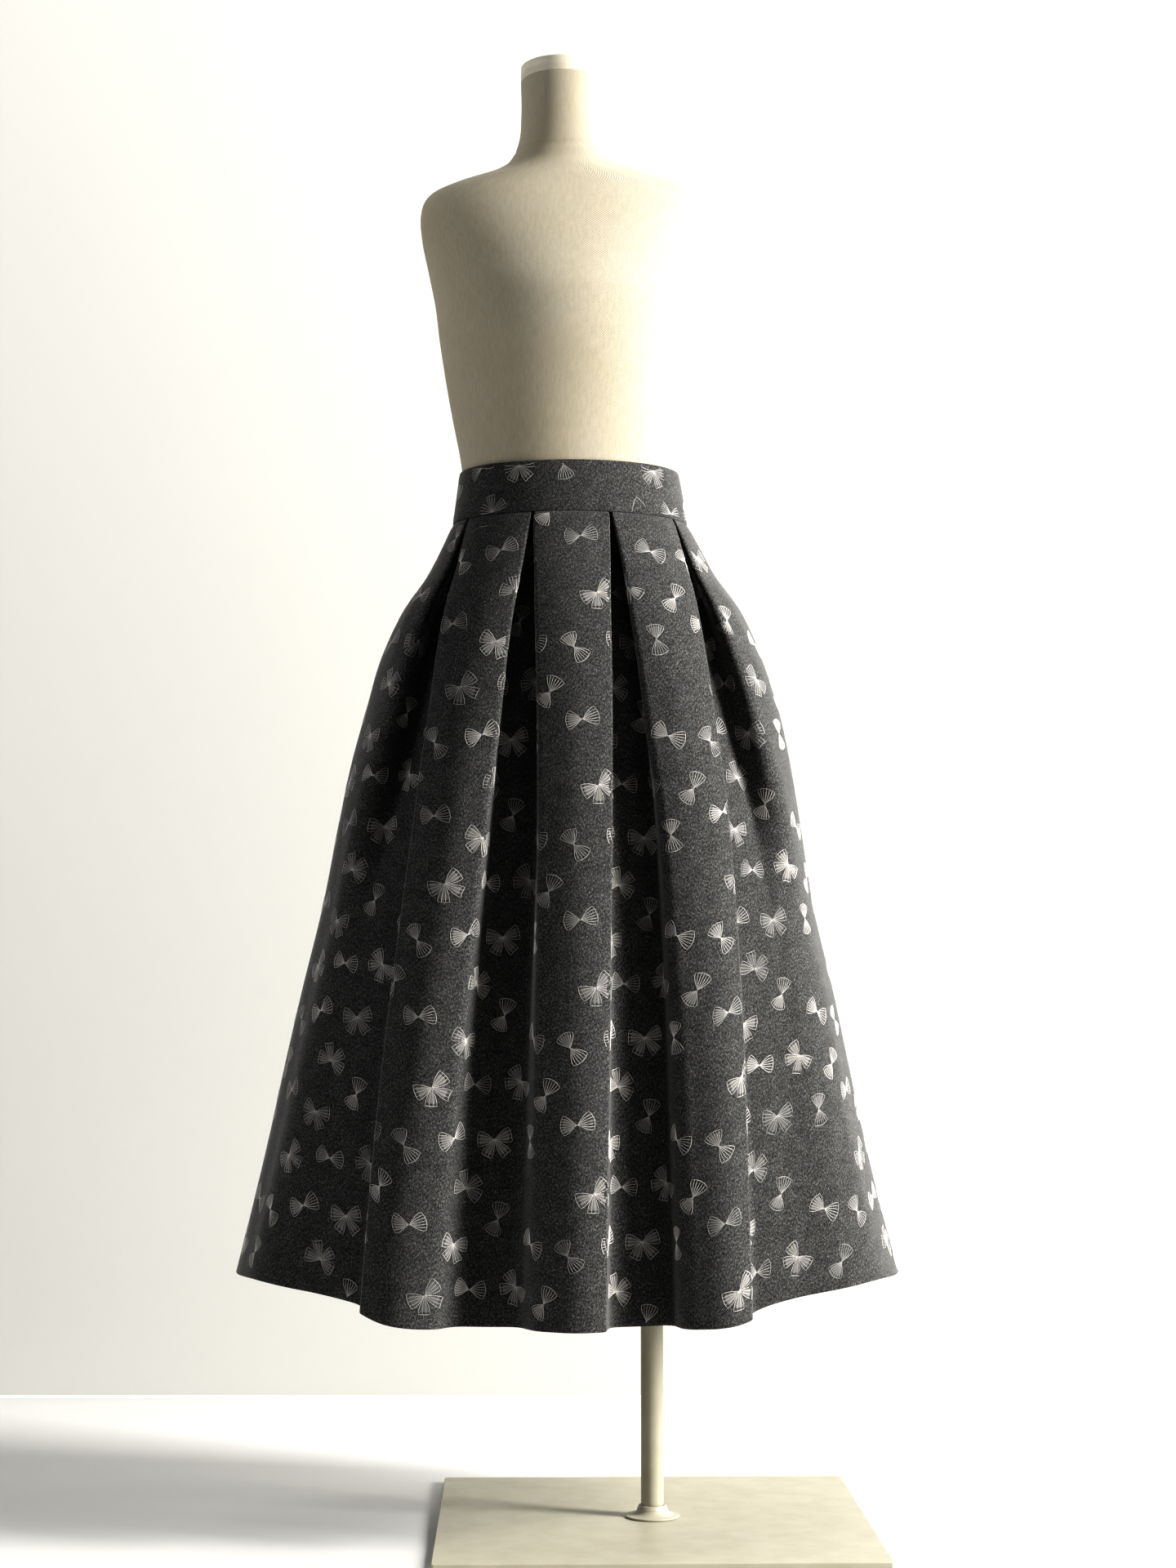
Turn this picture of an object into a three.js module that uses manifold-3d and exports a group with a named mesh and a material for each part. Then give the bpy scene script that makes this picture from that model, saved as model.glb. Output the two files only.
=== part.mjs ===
// A pleated midi skirt of heavy wool flannel, standing on a limbless dress form.
// Millimetres, +Z up. The front of the skirt faces -Y, and left and right are as seen from the front,
// so right is +X. The origin is the underside of the base plate, below the middle of the form.
import * as THREE from "three";
import { mergeVertices } from "three/addons/utils/BufferGeometryUtils.js";
import Module from "manifold-3d";

// Driving dimensions: heights above the floor
const bandTop = 1190;
const seamHeight = 1130;
const hemHeight = 240;

// Driving dimensions: cloth
const clothThickness = 1.6;
const bandThickness = 3;
const seamGap = 0.3;
const pocketThickness = 2.4;
const tapeThickness = 1;

// Driving dimensions: the waistband's rings, as half widths and half depths of the outer surface
const waistCentre = 3;
const bandTopHalfWidth = 126.6;
const bandTopHalfDepth = 96;
const seamHalfWidth = 135.4;

// Driving dimensions: one inverted pleat and the panel beside it, measured along the cloth. The cloth in
// a pleat widens towards the hem, and there each panel bows out between its pleats.
const panelWidth = 87.4;
const seamIntake = 87;
const hemIntake = 132;
const foldHalfWidth = 2.5;
const hemBow = THREE.MathUtils.degToRad(25);
const outerPleatFade = { from: 0.3, to: 0.58, most: 0.88 };

// How far down the skirt a ring lies, from 0 at the waistband seam to 1 at the hem. left and right are
// the outline's half widths, side is the cloth between the outer pleat and the side seam, corner is how
// much of the hem's cornered plan the ring has, and turn is how far the centre front stands to the right.
const rings = [
  { down: 0.0, left: 134.5, right: 136.5, side: 56, corner: 0.0, turn: 3.5 },
  { down: 0.03, left: 145.5, right: 150, side: 66.5, corner: 0.05, turn: 3.5 },
  { down: 0.07, left: 162, right: 168, side: 81.5, corner: 0.1, turn: 4 },
  { down: 0.12, left: 190, right: 198, side: 101.5, corner: 0.2, turn: 4 },
  { down: 0.18, left: 211, right: 220, side: 110, corner: 0.3, turn: 5 },
  { down: 0.25, left: 227.5, right: 237.5, side: 112, corner: 0.4, turn: 6 },
  { down: 0.33, left: 246, right: 251, side: 107.5, corner: 0.5, turn: 6 },
  { down: 0.42, left: 262.5, right: 264.5, side: 97.5, corner: 0.6, turn: 6 },
  { down: 0.52, left: 279.5, right: 280, side: 97, corner: 0.7, turn: 5 },
  { down: 0.62, left: 300, right: 300, side: 111.5, corner: 0.8, turn: 4 },
  { down: 0.72, left: 319, right: 317.5, side: 127, corner: 0.88, turn: 3 },
  { down: 0.82, left: 337, right: 335, side: 142.5, corner: 0.94, turn: 2 },
  { down: 0.91, left: 354.5, right: 353.5, side: 159, corner: 0.98, turn: 1.5 },
  { down: 1.0, left: 373, right: 374, side: 176.5, corner: 1.0, turn: 1 },
];

// How far apart the two edges of each pleat stand. a to d run from left to right across the front, and
// e to h go on round the back.
const openings = [
  { down: 0.0, a: 0.6, b: 0.6, c: 0.6, d: 0.6, e: 0.6, f: 0.6, g: 0.6, h: 0.6 },
  { down: 0.07, a: 11, b: 11, c: 12, d: 10, e: 10, f: 10, g: 10, h: 11 },
  { down: 0.18, a: 30, b: 27, c: 25, d: 31, e: 31, f: 22, g: 24, h: 30 },
  { down: 0.27, a: 43, b: 37, c: 34, d: 48, e: 47, f: 33, g: 35, h: 45 },
  { down: 0.38, a: 56, b: 49, c: 48, d: 64, e: 61, f: 50, g: 52, h: 62 },
  { down: 0.6, a: 72, b: 70, c: 63, d: 75, e: 73, f: 66, g: 67, h: 72 },
  { down: 0.8, a: 78, b: 86, c: 71, d: 79, e: 79, f: 74, g: 75, h: 76 },
  { down: 1.0, a: 84, b: 98, c: 77, d: 82, e: 83, f: 79, g: 81, h: 80 },
];

// How far the press crease on each edge of a pleat has spread by the hem, onto the panel beside it and
// into the fold.
const creases = [
  { pleat: "a", panelBefore: 50, foldBefore: 14, foldAfter: 2, panelAfter: 3 },
  { pleat: "b", panelBefore: 8, foldBefore: 10, foldAfter: 4, panelAfter: 26 },
  { pleat: "c", panelBefore: 0, foldBefore: 0, foldAfter: 7, panelAfter: 30 },
  { pleat: "d", panelBefore: 2, foldBefore: 1, foldAfter: 14, panelAfter: 50 },
  { pleat: "e", panelBefore: 44, foldBefore: 12, foldAfter: 2, panelAfter: 5 },
  { pleat: "f", panelBefore: 27, foldBefore: 8, foldAfter: 1, panelAfter: 2 },
  { pleat: "g", panelBefore: 6, foldBefore: 3, foldAfter: 8, panelAfter: 26 },
  { pleat: "h", panelBefore: 4, foldBefore: 2, foldAfter: 13, panelAfter: 46 },
];
const innerCreaseSpread = 13;

// The hem's plan against a plain oval: quarterAngle is 0 at the front and back and 90 at the sides.
const hemPlan = [
  { quarterAngle: 0, reach: 1.0 },
  { quarterAngle: 15, reach: 1.02 },
  { quarterAngle: 30, reach: 1.06 },
  { quarterAngle: 45, reach: 1.065 },
  { quarterAngle: 57, reach: 1.07 },
  { quarterAngle: 72, reach: 1.03 },
  { quarterAngle: 82, reach: 1.01 },
  { quarterAngle: 90, reach: 1.0 },
];

// How far the hem rises towards the sides. across is 0 at the centre front and back and 1 at the sides.
const hemRises = [
  { across: 0, rise: 0 },
  { across: 0.34, rise: 1 },
  { across: 0.49, rise: 6 },
  { across: 0.64, rise: 23 },
  { across: 0.83, rise: 36 },
  { across: 0.94, rise: 42 },
  { across: 1, rise: 41 },
];

// Driving dimensions: pockets and zip
const pocketTopDown = 0.07;
const pocketBottomDown = 0.33;
const pocketColumns = 3;
const mouthEndDown = 0.25;
const mouthGap = 1.8;
const tapeRows = [0.01, 0.06, 0.12, 0.165];
const tapeHalfWidth = 11;
const sliderSize = { x: 5.4, y: 2, z: 9 };
const pullLength = 21;
const pullWidth = 5;
const pullThickness = 1.2;
const pinRadius = 0.5;
const pinSpan = 3.6;
const cheekWidth = 0.9;
const pullEyeInner = 0.85;
const pullEyeOuter = 1.7;
const pinStandOff = 2.3;
const cheekHalfHeight = 1.1;
const sliderClearance = 0.35;
const sliderTopBelowBand = 7;

// Driving dimensions: dress form and stand
const capRadius = 51.5;
const capBottom = 1651.5;
const capTop = 1670;
const capX = -2;
const poleX = 97;
const poleRadius = 12.7;
const plateSide = 480;
const plateThickness = 7;
const plateTurn = THREE.MathUtils.degToRad(1.3);
const flangeRadius = 30.5;
const flangeEdge = 2;
const collarRadius = 15.8;
const collarHeight = 13;
const socketRadius = 24;
const socketHeight = 16;
const torsoBottom = 850;
const standGap = 0.3;

// The dress form's rings: its centre and half width across, and its depth to the front and to the back.
const torsoRings = [
  { height: 850, centre: 3, width: 148, front: 100, back: 112 },
  { height: 854, centre: 3, width: 156, front: 107, back: 119 },
  { height: 870, centre: 3, width: 161, front: 111, back: 123 },
  { height: 910, centre: 3, width: 164, front: 113, back: 125 },
  { height: 960, centre: 3, width: 163, front: 112, back: 123 },
  { height: 1010, centre: 3, width: 157, front: 108, back: 117 },
  { height: 1050, centre: 3, width: 144, front: 101, back: 108 },
  { height: 1085, centre: 3, width: 130.5, front: 96, back: 98.5 },
  { height: 1110, centre: 3, width: 123.5, front: 93, back: 93.5 },
  { height: 1135, centre: 3, width: 123, front: 92.3, back: 91.5 },
  { height: 1165, centre: 3, width: 122.4, front: 92, back: 90.6 },
  { height: 1189, centre: 3, width: 123.1, front: 92.4, back: 90.9 },
  { height: 1215, centre: 3, width: 127, front: 95, back: 94 },
  { height: 1255, centre: 2, width: 134, front: 101, back: 98 },
  { height: 1300, centre: 2, width: 142, front: 111, back: 103 },
  { height: 1345, centre: 1, width: 148, front: 121, back: 107 },
  { height: 1385, centre: 1, width: 153, front: 122, back: 109 },
  { height: 1425, centre: 1, width: 161, front: 108, back: 108 },
  { height: 1465, centre: 0, width: 168, front: 90, back: 102 },
  { height: 1498, centre: 0, width: 169, front: 74, back: 92 },
  { height: 1518, centre: 0, width: 158, front: 64, back: 82 },
  { height: 1531, centre: -1, width: 128, front: 59, back: 74 },
  { height: 1542, centre: -1, width: 90, front: 55, back: 66 },
  { height: 1554, centre: -1, width: 68, front: 51, back: 59 },
  { height: 1580, centre: -1, width: 55, front: 50, back: 53 },
  { height: 1615, centre: -1.5, width: 51.5, front: 50.5, back: 51 },
  { height: 1651.2, centre: -1.5, width: 52, front: 52, back: 52 },
];
const torsoColumns = 40;

// One column of a table at a place between its rows, on a smooth curve through them.
function between(table, key, column, place) {
  const last = table.length - 1;
  let row = 0;
  while (row < last - 1 && place > table[row + 1][key]) row += 1;
  const slopeAt = (index) => {
    const before = table[Math.max(index - 1, 0)];
    const after = table[Math.min(index + 1, last)];
    return (after[column] - before[column]) / (after[key] - before[key]);
  };
  const step = table[row + 1][key] - table[row][key];
  const t = THREE.MathUtils.clamp((place - table[row][key]) / step, 0, 1);
  const rise = table[row + 1][column] - table[row][column];
  const start = slopeAt(row) * step;
  const end = slopeAt(row + 1) * step;
  return table[row][column] + t * start + t * t * (3 * rise - 2 * start - end)
    + t * t * t * (start + end - 2 * rise);
}

// A point of a ring's plain outline. The angle goes from the centre front round by the right.
function outlinePoint(down, halfDepth, angle) {
  const across = Math.sin(angle);
  const forward = Math.cos(angle);
  const quarterAngle = THREE.MathUtils.radToDeg(Math.atan2(Math.abs(across), Math.abs(forward)));
  const corner = between(rings, "down", "corner", down);
  const reach = 1 + corner * (between(hemPlan, "quarterAngle", "reach", quarterAngle) - 1);
  const halfWidth = between(rings, "down", across < 0 ? "left" : "right", down);
  const centre = waistCentre * (1 - down);
  return new THREE.Vector2(centre + halfWidth * reach * across, -halfDepth * reach * forward);
}

// A ring's outline as points with the length run so far.
function outlineRun(down, halfDepth) {
  const steps = 240;
  const run = [];
  let length = 0;
  for (let step = 0; step <= steps; step += 1) {
    const point = outlinePoint(down, halfDepth, (2 * Math.PI * step) / steps);
    if (step > 0) length += point.distanceTo(run[step - 1].point);
    run.push({ point, length });
  }
  return run;
}

// The half depth at which a ring's outline is as long as its opened-out cloth.
function depthForLength(down, wanted) {
  let low = 60;
  let high = 520;
  for (let round = 0; round < 26; round += 1) {
    const middle = (low + high) / 2;
    const run = outlineRun(down, middle);
    if (run[run.length - 1].length < wanted) low = middle;
    else high = middle;
  }
  return (low + high) / 2;
}

// A place on the outline and its outward normal.
function onOutline(run, length) {
  const whole = run[run.length - 1].length;
  const wrapped = ((length % whole) + whole) % whole;
  let row = 0;
  while (row < run.length - 2 && run[row + 1].length < wrapped) row += 1;
  const from = run[row];
  const to = run[row + 1];
  const share = (wrapped - from.length) / (to.length - from.length);
  const point = from.point.clone().lerp(to.point, share);
  const directionAt = (index) => {
    const steps = run.length - 1;
    const next = run[(index + 1) % steps].point;
    return next.clone().sub(run[(index - 1 + steps) % steps].point).normalize();
  };
  const along = directionAt(row % (run.length - 1)).lerp(directionAt((row + 1) % (run.length - 1)), share);
  along.normalize();
  return { point, along, outward: new THREE.Vector2(along.y, -along.x) };
}

// The folds of a half skirt, in cloth lengths from its centre line: where each starts and ends, and how
// far it turns the cloth. A pleat is a crest, two creases on its underlay and a second crest. Between
// two pleats the panel is bowed, so it leaves one crest turned out and reaches the next turned in.
function foldsOf(creaseRows, down) {
  const faded = down ** 0.8;
  const inner = foldHalfWidth + innerCreaseSpread * faded;
  const intake = THREE.MathUtils.lerp(seamIntake, hemIntake, down);
  const bow = bowAt(down);
  const outerShare = outerShareAt(down);
  return creaseRows.flatMap((row, index) => {
    const open = between(openings, "down", row.pleat, down);
    const turn = Math.acos(THREE.MathUtils.clamp((2 * open) / intake - 1, -1, 1));
    const first = index === 0 ? turn * outerShare : turn;
    const last = index === 3 ? turn * outerShare : turn;
    const crest = panelWidth / 2 + (index - 2) * (intake + panelWidth);
    const spread = (most) => foldHalfWidth + most * faded;
    return [
      {
        at: crest, before: spread(row.panelBefore), after: spread(row.foldBefore),
        turn: first - (index > 0 ? bow : 0),
      },
      { at: crest + intake / 4, before: inner, after: inner, turn: -first },
      { at: crest + (intake * 3) / 4, before: inner, after: inner, turn: -last },
      {
        at: crest + intake, before: spread(row.foldAfter), after: spread(row.panelAfter),
        turn: last - (index < 3 ? bow : 0),
      },
    ].map((fold) => ({ ...fold, from: fold.at - fold.before, to: fold.at + fold.after }));
  });
}

// How much of its own fold the side edge of an outer pleat keeps. Below the hips it fades, and the cloth
// runs on smoothly from inside the pleat to the side seam.
function outerShareAt(down) {
  return 1 - outerPleatFade.most * THREE.MathUtils.smoothstep(down, outerPleatFade.from, outerPleatFade.to);
}

// How far a panel is turned out and in at its two edges.
function bowAt(down) {
  return hemBow * Math.sqrt(down);
}

// How far the cloth has turned from the outline's own direction at a place along it.
function turnAt(folds, place, down) {
  let turn = 0;
  folds.forEach((fold, index) => {
    turn += fold.turn * THREE.MathUtils.smoothstep(place, fold.from, fold.to);
    const next = folds[index + 1];
    if (index % 4 === 3 && next) {
      turn += 2 * bowAt(down) * THREE.MathUtils.smoothstep(place, fold.to, next.from);
    }
  });
  return turn;
}

// Where the cloth of a half skirt gets its columns: three on each fold, and some on each flat. The
// middle panel has its own in the middle: one, or one at each edge of a seam.
function columnsOf(folds, halfCloth, middleColumns) {
  const sideColumns = 4;
  const flatColumns = 3;
  const middle = folds.length / 2 - 1;
  const columns = [-halfCloth];
  const shareOut = (from, to, count) => {
    for (let index = 1; index <= count; index += 1) {
      columns.push(from + ((to - from) * index) / (count + 1));
    }
  };
  shareOut(-halfCloth, folds[0].from, sideColumns);
  folds.forEach((fold, index) => {
    columns.push(fold.from, (fold.from + fold.to) / 2, fold.to);
    const next = folds[index + 1];
    if (index === middle) {
      shareOut(fold.to, middleColumns[0], 1);
      columns.push(...middleColumns);
      shareOut(middleColumns.at(-1), next.from, 1);
    } else if (next && index % 4 === 3) shareOut(fold.to, next.from, flatColumns);
    else if (index % 4 === 1) shareOut(fold.to, next.from, 1);
  });
  shareOut(folds[folds.length - 1].to, halfCloth, sideColumns);
  columns.push(halfCloth);
  return columns;
}

// The folded section of a half skirt, opened out flat along the outline: how far along, how far out
// and how far turned each column is. The cloth beyond trim is left off at both side seams.
function sectionOf(creaseRows, down, middleColumns, trim) {
  const folds = foldsOf(creaseRows, down);
  const halfCloth = folds[folds.length - 1].at + between(rings, "down", "side", down);
  const columns = columnsOf(folds, halfCloth - trim, middleColumns);
  const substeps = 10;
  const section = [];
  let last = -halfCloth;
  let along = 0;
  let out = 0;
  for (const place of columns) {
    const step = (place - last) / substeps;
    for (let index = 0; index < substeps; index += 1) {
      const turn = turnAt(folds, last + step * (index + 0.5), down);
      along += Math.cos(turn) * step;
      out -= Math.sin(turn) * step;
    }
    section.push({ place, along, out, turn: turnAt(folds, place, down) });
    last = place;
  }
  for (let first = 0; first < folds.length; first += 4) {
    const from = first === 0 ? trim - halfCloth : folds[first].from;
    const to = first === folds.length - 4 ? halfCloth - trim : folds[first + 3].to;
    evenOut(section, from, to);
  }
  return { section, length: along + trim };
}

// Brings the cloth at the end of a stretch as far out as at its start, where uneven creases leave it apart.
function evenOut(section, from, to) {
  const entry = section.find((column) => column.place >= from).out;
  const exit = section.find((column) => column.place >= to).out;
  for (const column of section) {
    const share = THREE.MathUtils.clamp((column.place - from) / (to - from), 0, 1);
    column.out -= (exit - entry) * share;
  }
}

// A whole ring of the skirt: its outline, and where the front's and the back's cloth start along it.
function ringAt(down) {
  const inMouth = down > pocketTopDown && down < mouthEndDown;
  const trim = (inMouth ? mouthGap : seamGap) / 2;
  const front = sectionOf(creases.slice(0, 4), down, [0], trim);
  const back = sectionOf(creases.slice(4), down, [-seamGap / 2, seamGap / 2], trim);
  const halfDepth = depthForLength(down, front.length + back.length);
  const run = outlineRun(down, halfDepth);
  const frontStart = between(rings, "down", "turn", down) - centreOf(front);
  const backStart = frontStart + front.length;
  return { down, halfDepth, run, front, back, frontStart, backStart };
}

// How far along its section the middle of a half skirt lies.
function centreOf(half) {
  const before = half.section.findLast((column) => column.place <= 0);
  const after = half.section.find((column) => column.place >= 0);
  return (before.along + after.along) / 2;
}

// The height of a ring where it passes a place across the form.
function heightAt(down, across) {
  const share = Math.abs(across) / between(rings, "down", "right", down);
  const hem = hemHeight + between(hemRises, "across", "rise", share);
  return THREE.MathUtils.lerp(seamHeight - seamGap, hem, down);
}

// A place on a ring of the skirt, moved out from its outline.
function ringPoint(ring, length, move) {
  const spot = onOutline(ring.run, length);
  const flat = spot.point.clone().addScaledVector(spot.outward, move);
  return new THREE.Vector3(flat.x, flat.y, heightAt(ring.down, spot.point.x));
}

// A column's place in space, moved out from the middle of the cloth.
function clothPoint(ring, start, column, move) {
  const spot = onOutline(ring.run, column.along + start);
  const facing = spot.outward.clone().multiplyScalar(Math.cos(column.turn));
  facing.addScaledVector(spot.along, Math.sin(column.turn));
  const flat = spot.point.clone().addScaledVector(spot.outward, column.out - clothThickness / 2);
  flat.addScaledVector(facing, move);
  return new THREE.Vector3(flat.x, flat.y, heightAt(ring.down, spot.point.x));
}

// A panel of the skirt as a wall, from those columns of the front or back that it keeps.
function panelWall(skirtRings, half, keeps) {
  const gridAt = (move) => skirtRings.map((ring) => {
    const kept = ring[half].section.filter(keeps);
    return kept.map((column) => clothPoint(ring, ring[`${half}Start`], column, move));
  });
  return wallBetween(gridAt(clothThickness / 2), gridAt(-clothThickness / 2));
}

// A closed wall between two grids of points of the same size, both listed row by row from the top,
// each row counterclockwise.
function wallBetween(outer, inner) {
  const rows = outer.length;
  const columns = outer[0].length;
  const innerStart = rows * columns;
  const indices = [];
  const quad = (a, b, c, d) => indices.push(a, b, c, a, c, d);
  for (let row = 0; row < rows - 1; row += 1) {
    for (let column = 0; column < columns - 1; column += 1) {
      const a = row * columns + column;
      const b = innerStart + a;
      quad(a, a + columns, a + columns + 1, a + 1);
      quad(b, b + 1, b + columns + 1, b + columns);
    }
    const first = row * columns;
    const last = first + columns - 1;
    quad(first, innerStart + first, innerStart + first + columns, first + columns);
    quad(last, last + columns, innerStart + last + columns, innerStart + last);
  }
  for (let column = 0; column < columns - 1; column += 1) {
    const low = (rows - 1) * columns + column;
    quad(column, column + 1, innerStart + column + 1, innerStart + column);
    quad(low, innerStart + low, innerStart + low + 1, low + 1);
  }
  return geometryFrom([...outer.flat(), ...inner.flat()], indices);
}

// A closed solid through horizontal rings of points, listed from the bottom up, counterclockwise.
function loft(pointRings) {
  const count = pointRings[0].length;
  const indices = [];
  for (let row = 0; row < pointRings.length - 1; row += 1) {
    const low = row * count;
    const high = low + count;
    for (let column = 0; column < count; column += 1) {
      const next = (column + 1) % count;
      indices.push(low + column, low + next, high + next, low + column, high + next, high + column);
    }
  }
  const top = (pointRings.length - 1) * count;
  for (let column = 1; column < count - 1; column += 1) {
    indices.push(0, column + 1, column, top, top + column, top + column + 1);
  }
  return geometryFrom(pointRings.flat(), indices);
}

function geometryFrom(points, indices) {
  const geometry = new THREE.BufferGeometry().setFromPoints(points);
  geometry.setIndex(indices);
  const merged = mergeVertices(geometry, 1e-4);
  merged.computeVertexNormals();
  return merged;
}

// A place on the waistband, which leans in towards its top. rise is 0 at the seam and 1 at the top.
function bandPoint(seamRing, length, rise, move) {
  const spot = onOutline(seamRing.run, length);
  const angle = Math.atan2(
    (spot.point.x - waistCentre) / seamHalfWidth,
    -spot.point.y / seamRing.halfDepth,
  );
  const top = new THREE.Vector2(
    waistCentre + bandTopHalfWidth * Math.sin(angle),
    -bandTopHalfDepth * Math.cos(angle),
  );
  const flat = spot.point.clone().lerp(top, rise).addScaledVector(spot.outward, move);
  return new THREE.Vector3(flat.x, flat.y, THREE.MathUtils.lerp(seamHeight, bandTop, rise));
}

// The waistband: a double wall, open at the centre back.
function waistbandGeometry(seamRing) {
  const columns = 56;
  const rises = [1, 0.5, 0];
  const whole = seamRing.run.at(-1).length;
  const start = seamRing.backStart + centreOf(seamRing.back) + seamGap;
  const step = (whole - 2 * seamGap) / (columns - 1);
  const grid = (move) => rises.map((rise) =>
    Array.from({ length: columns }, (_, column) => bandPoint(seamRing, start + column * step, rise, move)));
  return wallBetween(grid(0), grid(-bandThickness));
}

// A pocket bag: two layers lying flat together behind the side seam, made from the panels' own points.
function pocketGeometry(bagRings, before, after) {
  const outside = -clothThickness / 2 - seamGap;
  const columnsOn = (ring, half, from, to) =>
    ring[half].section.slice(from, to).map((column) => ({ column, start: ring[`${half}Start`] }));
  const grid = (move) => bagRings.map((ring) => {
    const reach = [
      ...columnsOn(ring, before, -pocketColumns),
      ...columnsOn(ring, after, 0, pocketColumns),
    ];
    return reach.map(({ column, start }) => clothPoint(ring, start, column, move));
  });
  return wallBetween(grid(outside), grid(outside - pocketThickness));
}

// The zip's tape: a strip behind the centre-back seam, from just under the band's top edge down.
function tapeGeometry(seamRing, tapeRings) {
  const acrosses = [-tapeHalfWidth, 0, tapeHalfWidth];
  const bandRises = [0.95, 0.5, 0.02];
  const outside = -bandThickness - 2 * seamGap;
  const grid = (move) => [
    ...bandRises.map((rise) => acrosses.map((across) =>
      bandPoint(seamRing, seamRing.backStart + centreOf(seamRing.back) + across, rise, move))),
    ...tapeRings.map((ring) => acrosses.map((across) =>
      ringPoint(ring, ring.backStart + centreOf(ring.back) + across, move))),
  ];
  return wallBetween(grid(outside), grid(outside - tapeThickness));
}

// Solids joined into one, for the small metal pieces.
const wasm = await Module();
wasm.setup();

function joined(geometries) {
  const solids = geometries.map((geometry) => {
    const plain = geometry.clone();
    plain.deleteAttribute("normal");
    plain.deleteAttribute("uv");
    const merged = mergeVertices(plain, 1e-4);
    const triVerts = new Uint32Array(merged.index.array);
    const vertProperties = merged.getAttribute("position").array;
    return new wasm.Manifold(new wasm.Mesh({ numProp: 3, vertProperties, triVerts }));
  });
  const whole = solids.reduce((sum, solid) => sum.add(solid)).getMesh();
  const geometry = new THREE.BufferGeometry();
  geometry.setAttribute("position", new THREE.BufferAttribute(whole.vertProperties, 3));
  geometry.setIndex(new THREE.BufferAttribute(whole.triVerts, 1));
  geometry.computeVertexNormals();
  return geometry;
}

function boxBetween(low, high) {
  const box = new THREE.BoxGeometry(high[0] - low[0], high[1] - low[1], high[2] - low[2]);
  return box.translate((low[0] + high[0]) / 2, (low[1] + high[1]) / 2, (low[2] + high[2]) / 2);
}

// The slider: a small body against the cloth, with two cheeks that hold the pull tab's pin. Its own
// origin is the middle of its face on the cloth, with +Y away from the cloth.
function sliderGeometry() {
  const pinDepth = sliderSize.y + pinStandOff;
  const body = boxBetween(
    [-sliderSize.x / 2, 0, -sliderSize.z / 2],
    [sliderSize.x / 2, sliderSize.y, sliderSize.z / 2],
  );
  const cheeks = [-1, 1].map((side) => {
    const near = (side * pinSpan) / 2;
    const far = side * (pinSpan / 2 + cheekWidth);
    return boxBetween(
      [Math.min(near, far), sliderSize.y - 0.2, -cheekHalfHeight],
      [Math.max(near, far), pinDepth + 2 * pinRadius, cheekHalfHeight],
    );
  });
  const pin = new THREE.CylinderGeometry(pinRadius, pinRadius, pinSpan + cheekWidth, 12);
  pin.rotateZ(Math.PI / 2).translate(0, pinDepth, 0);
  return joined([body, ...cheeks, pin]);
}

// The pull tab: an eye round the pin and a flat tongue that hangs from it. Its origin is the pin.
function pullGeometry() {
  const eyeWidth = pinSpan - 2 * seamGap;
  const eyeOutline = new THREE.Shape().absarc(0, 0, pullEyeOuter, 0, 2 * Math.PI, false);
  eyeOutline.holes.push(new THREE.Path().absarc(0, 0, pullEyeInner, 0, 2 * Math.PI, true));
  const eye = new THREE.ExtrudeGeometry(eyeOutline, {
    depth: eyeWidth, bevelEnabled: false, curveSegments: 10,
  });
  eye.translate(0, 0, -eyeWidth / 2).rotateY(Math.PI / 2);
  const tongueTop = -(pullEyeInner + pullEyeOuter) / 2;
  const tongueOutline = new THREE.Shape();
  tongueOutline.moveTo(-eyeWidth / 2, tongueTop);
  tongueOutline.lineTo(-pullWidth / 2, -pullLength + pullWidth / 2);
  tongueOutline.absarc(0, -pullLength + pullWidth / 2, pullWidth / 2, Math.PI, 2 * Math.PI, false);
  tongueOutline.lineTo(eyeWidth / 2, tongueTop);
  const tongue = new THREE.ExtrudeGeometry(tongueOutline, {
    depth: pullThickness, bevelEnabled: false, curveSegments: 6,
  });
  tongue.rotateX(Math.PI / 2).translate(0, pullThickness / 2, 0);
  return joined([eye, tongue]);
}

// The dress form's body: oval rings from its flat underside to the top of the neck.
function torsoGeometry() {
  return loft(torsoRings.map((ring) => Array.from({ length: torsoColumns }, (_, column) => {
    const angle = (2 * Math.PI * column) / torsoColumns;
    const forward = Math.cos(angle);
    const depth = forward > 0 ? ring.front : ring.back;
    return new THREE.Vector3(ring.centre + ring.width * Math.sin(angle), -depth * forward, ring.height);
  })));
}

// Turned pieces are profiles of radius and height, closed on themselves or on the axis.
function turned(profile, segments) {
  const geometry = new THREE.LatheGeometry(profile.map(([r, z]) => new THREE.Vector2(r, z)), segments);
  return geometry.rotateX(Math.PI / 2);
}

function capGeometry() {
  const bevel = 1.2;
  return turned([
    [0, capBottom],
    [capRadius, capBottom],
    [capRadius, capTop - bevel],
    [capRadius - bevel, capTop],
    [0, capTop],
  ], 40);
}

function flangeGeometry() {
  const bore = poleRadius + standGap;
  const seat = plateThickness + standGap;
  const sweep = flangeRadius - collarRadius - 2;
  const profile = [[bore, seat], [flangeRadius, seat], [flangeRadius, seat + flangeEdge]];
  const steps = 5;
  for (let step = 1; step <= steps; step += 1) {
    const turn = (Math.PI / 2) * (step / steps);
    const rise = (collarHeight - flangeEdge - 3) * (1 - Math.cos(turn));
    profile.push([flangeRadius - 1 - sweep * Math.sin(turn), seat + flangeEdge + rise]);
  }
  profile.push([collarRadius, seat + collarHeight - 2.5], [collarRadius, seat + collarHeight]);
  profile.push([bore, seat + collarHeight], [bore, seat]);
  return turned(profile, 32);
}

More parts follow.
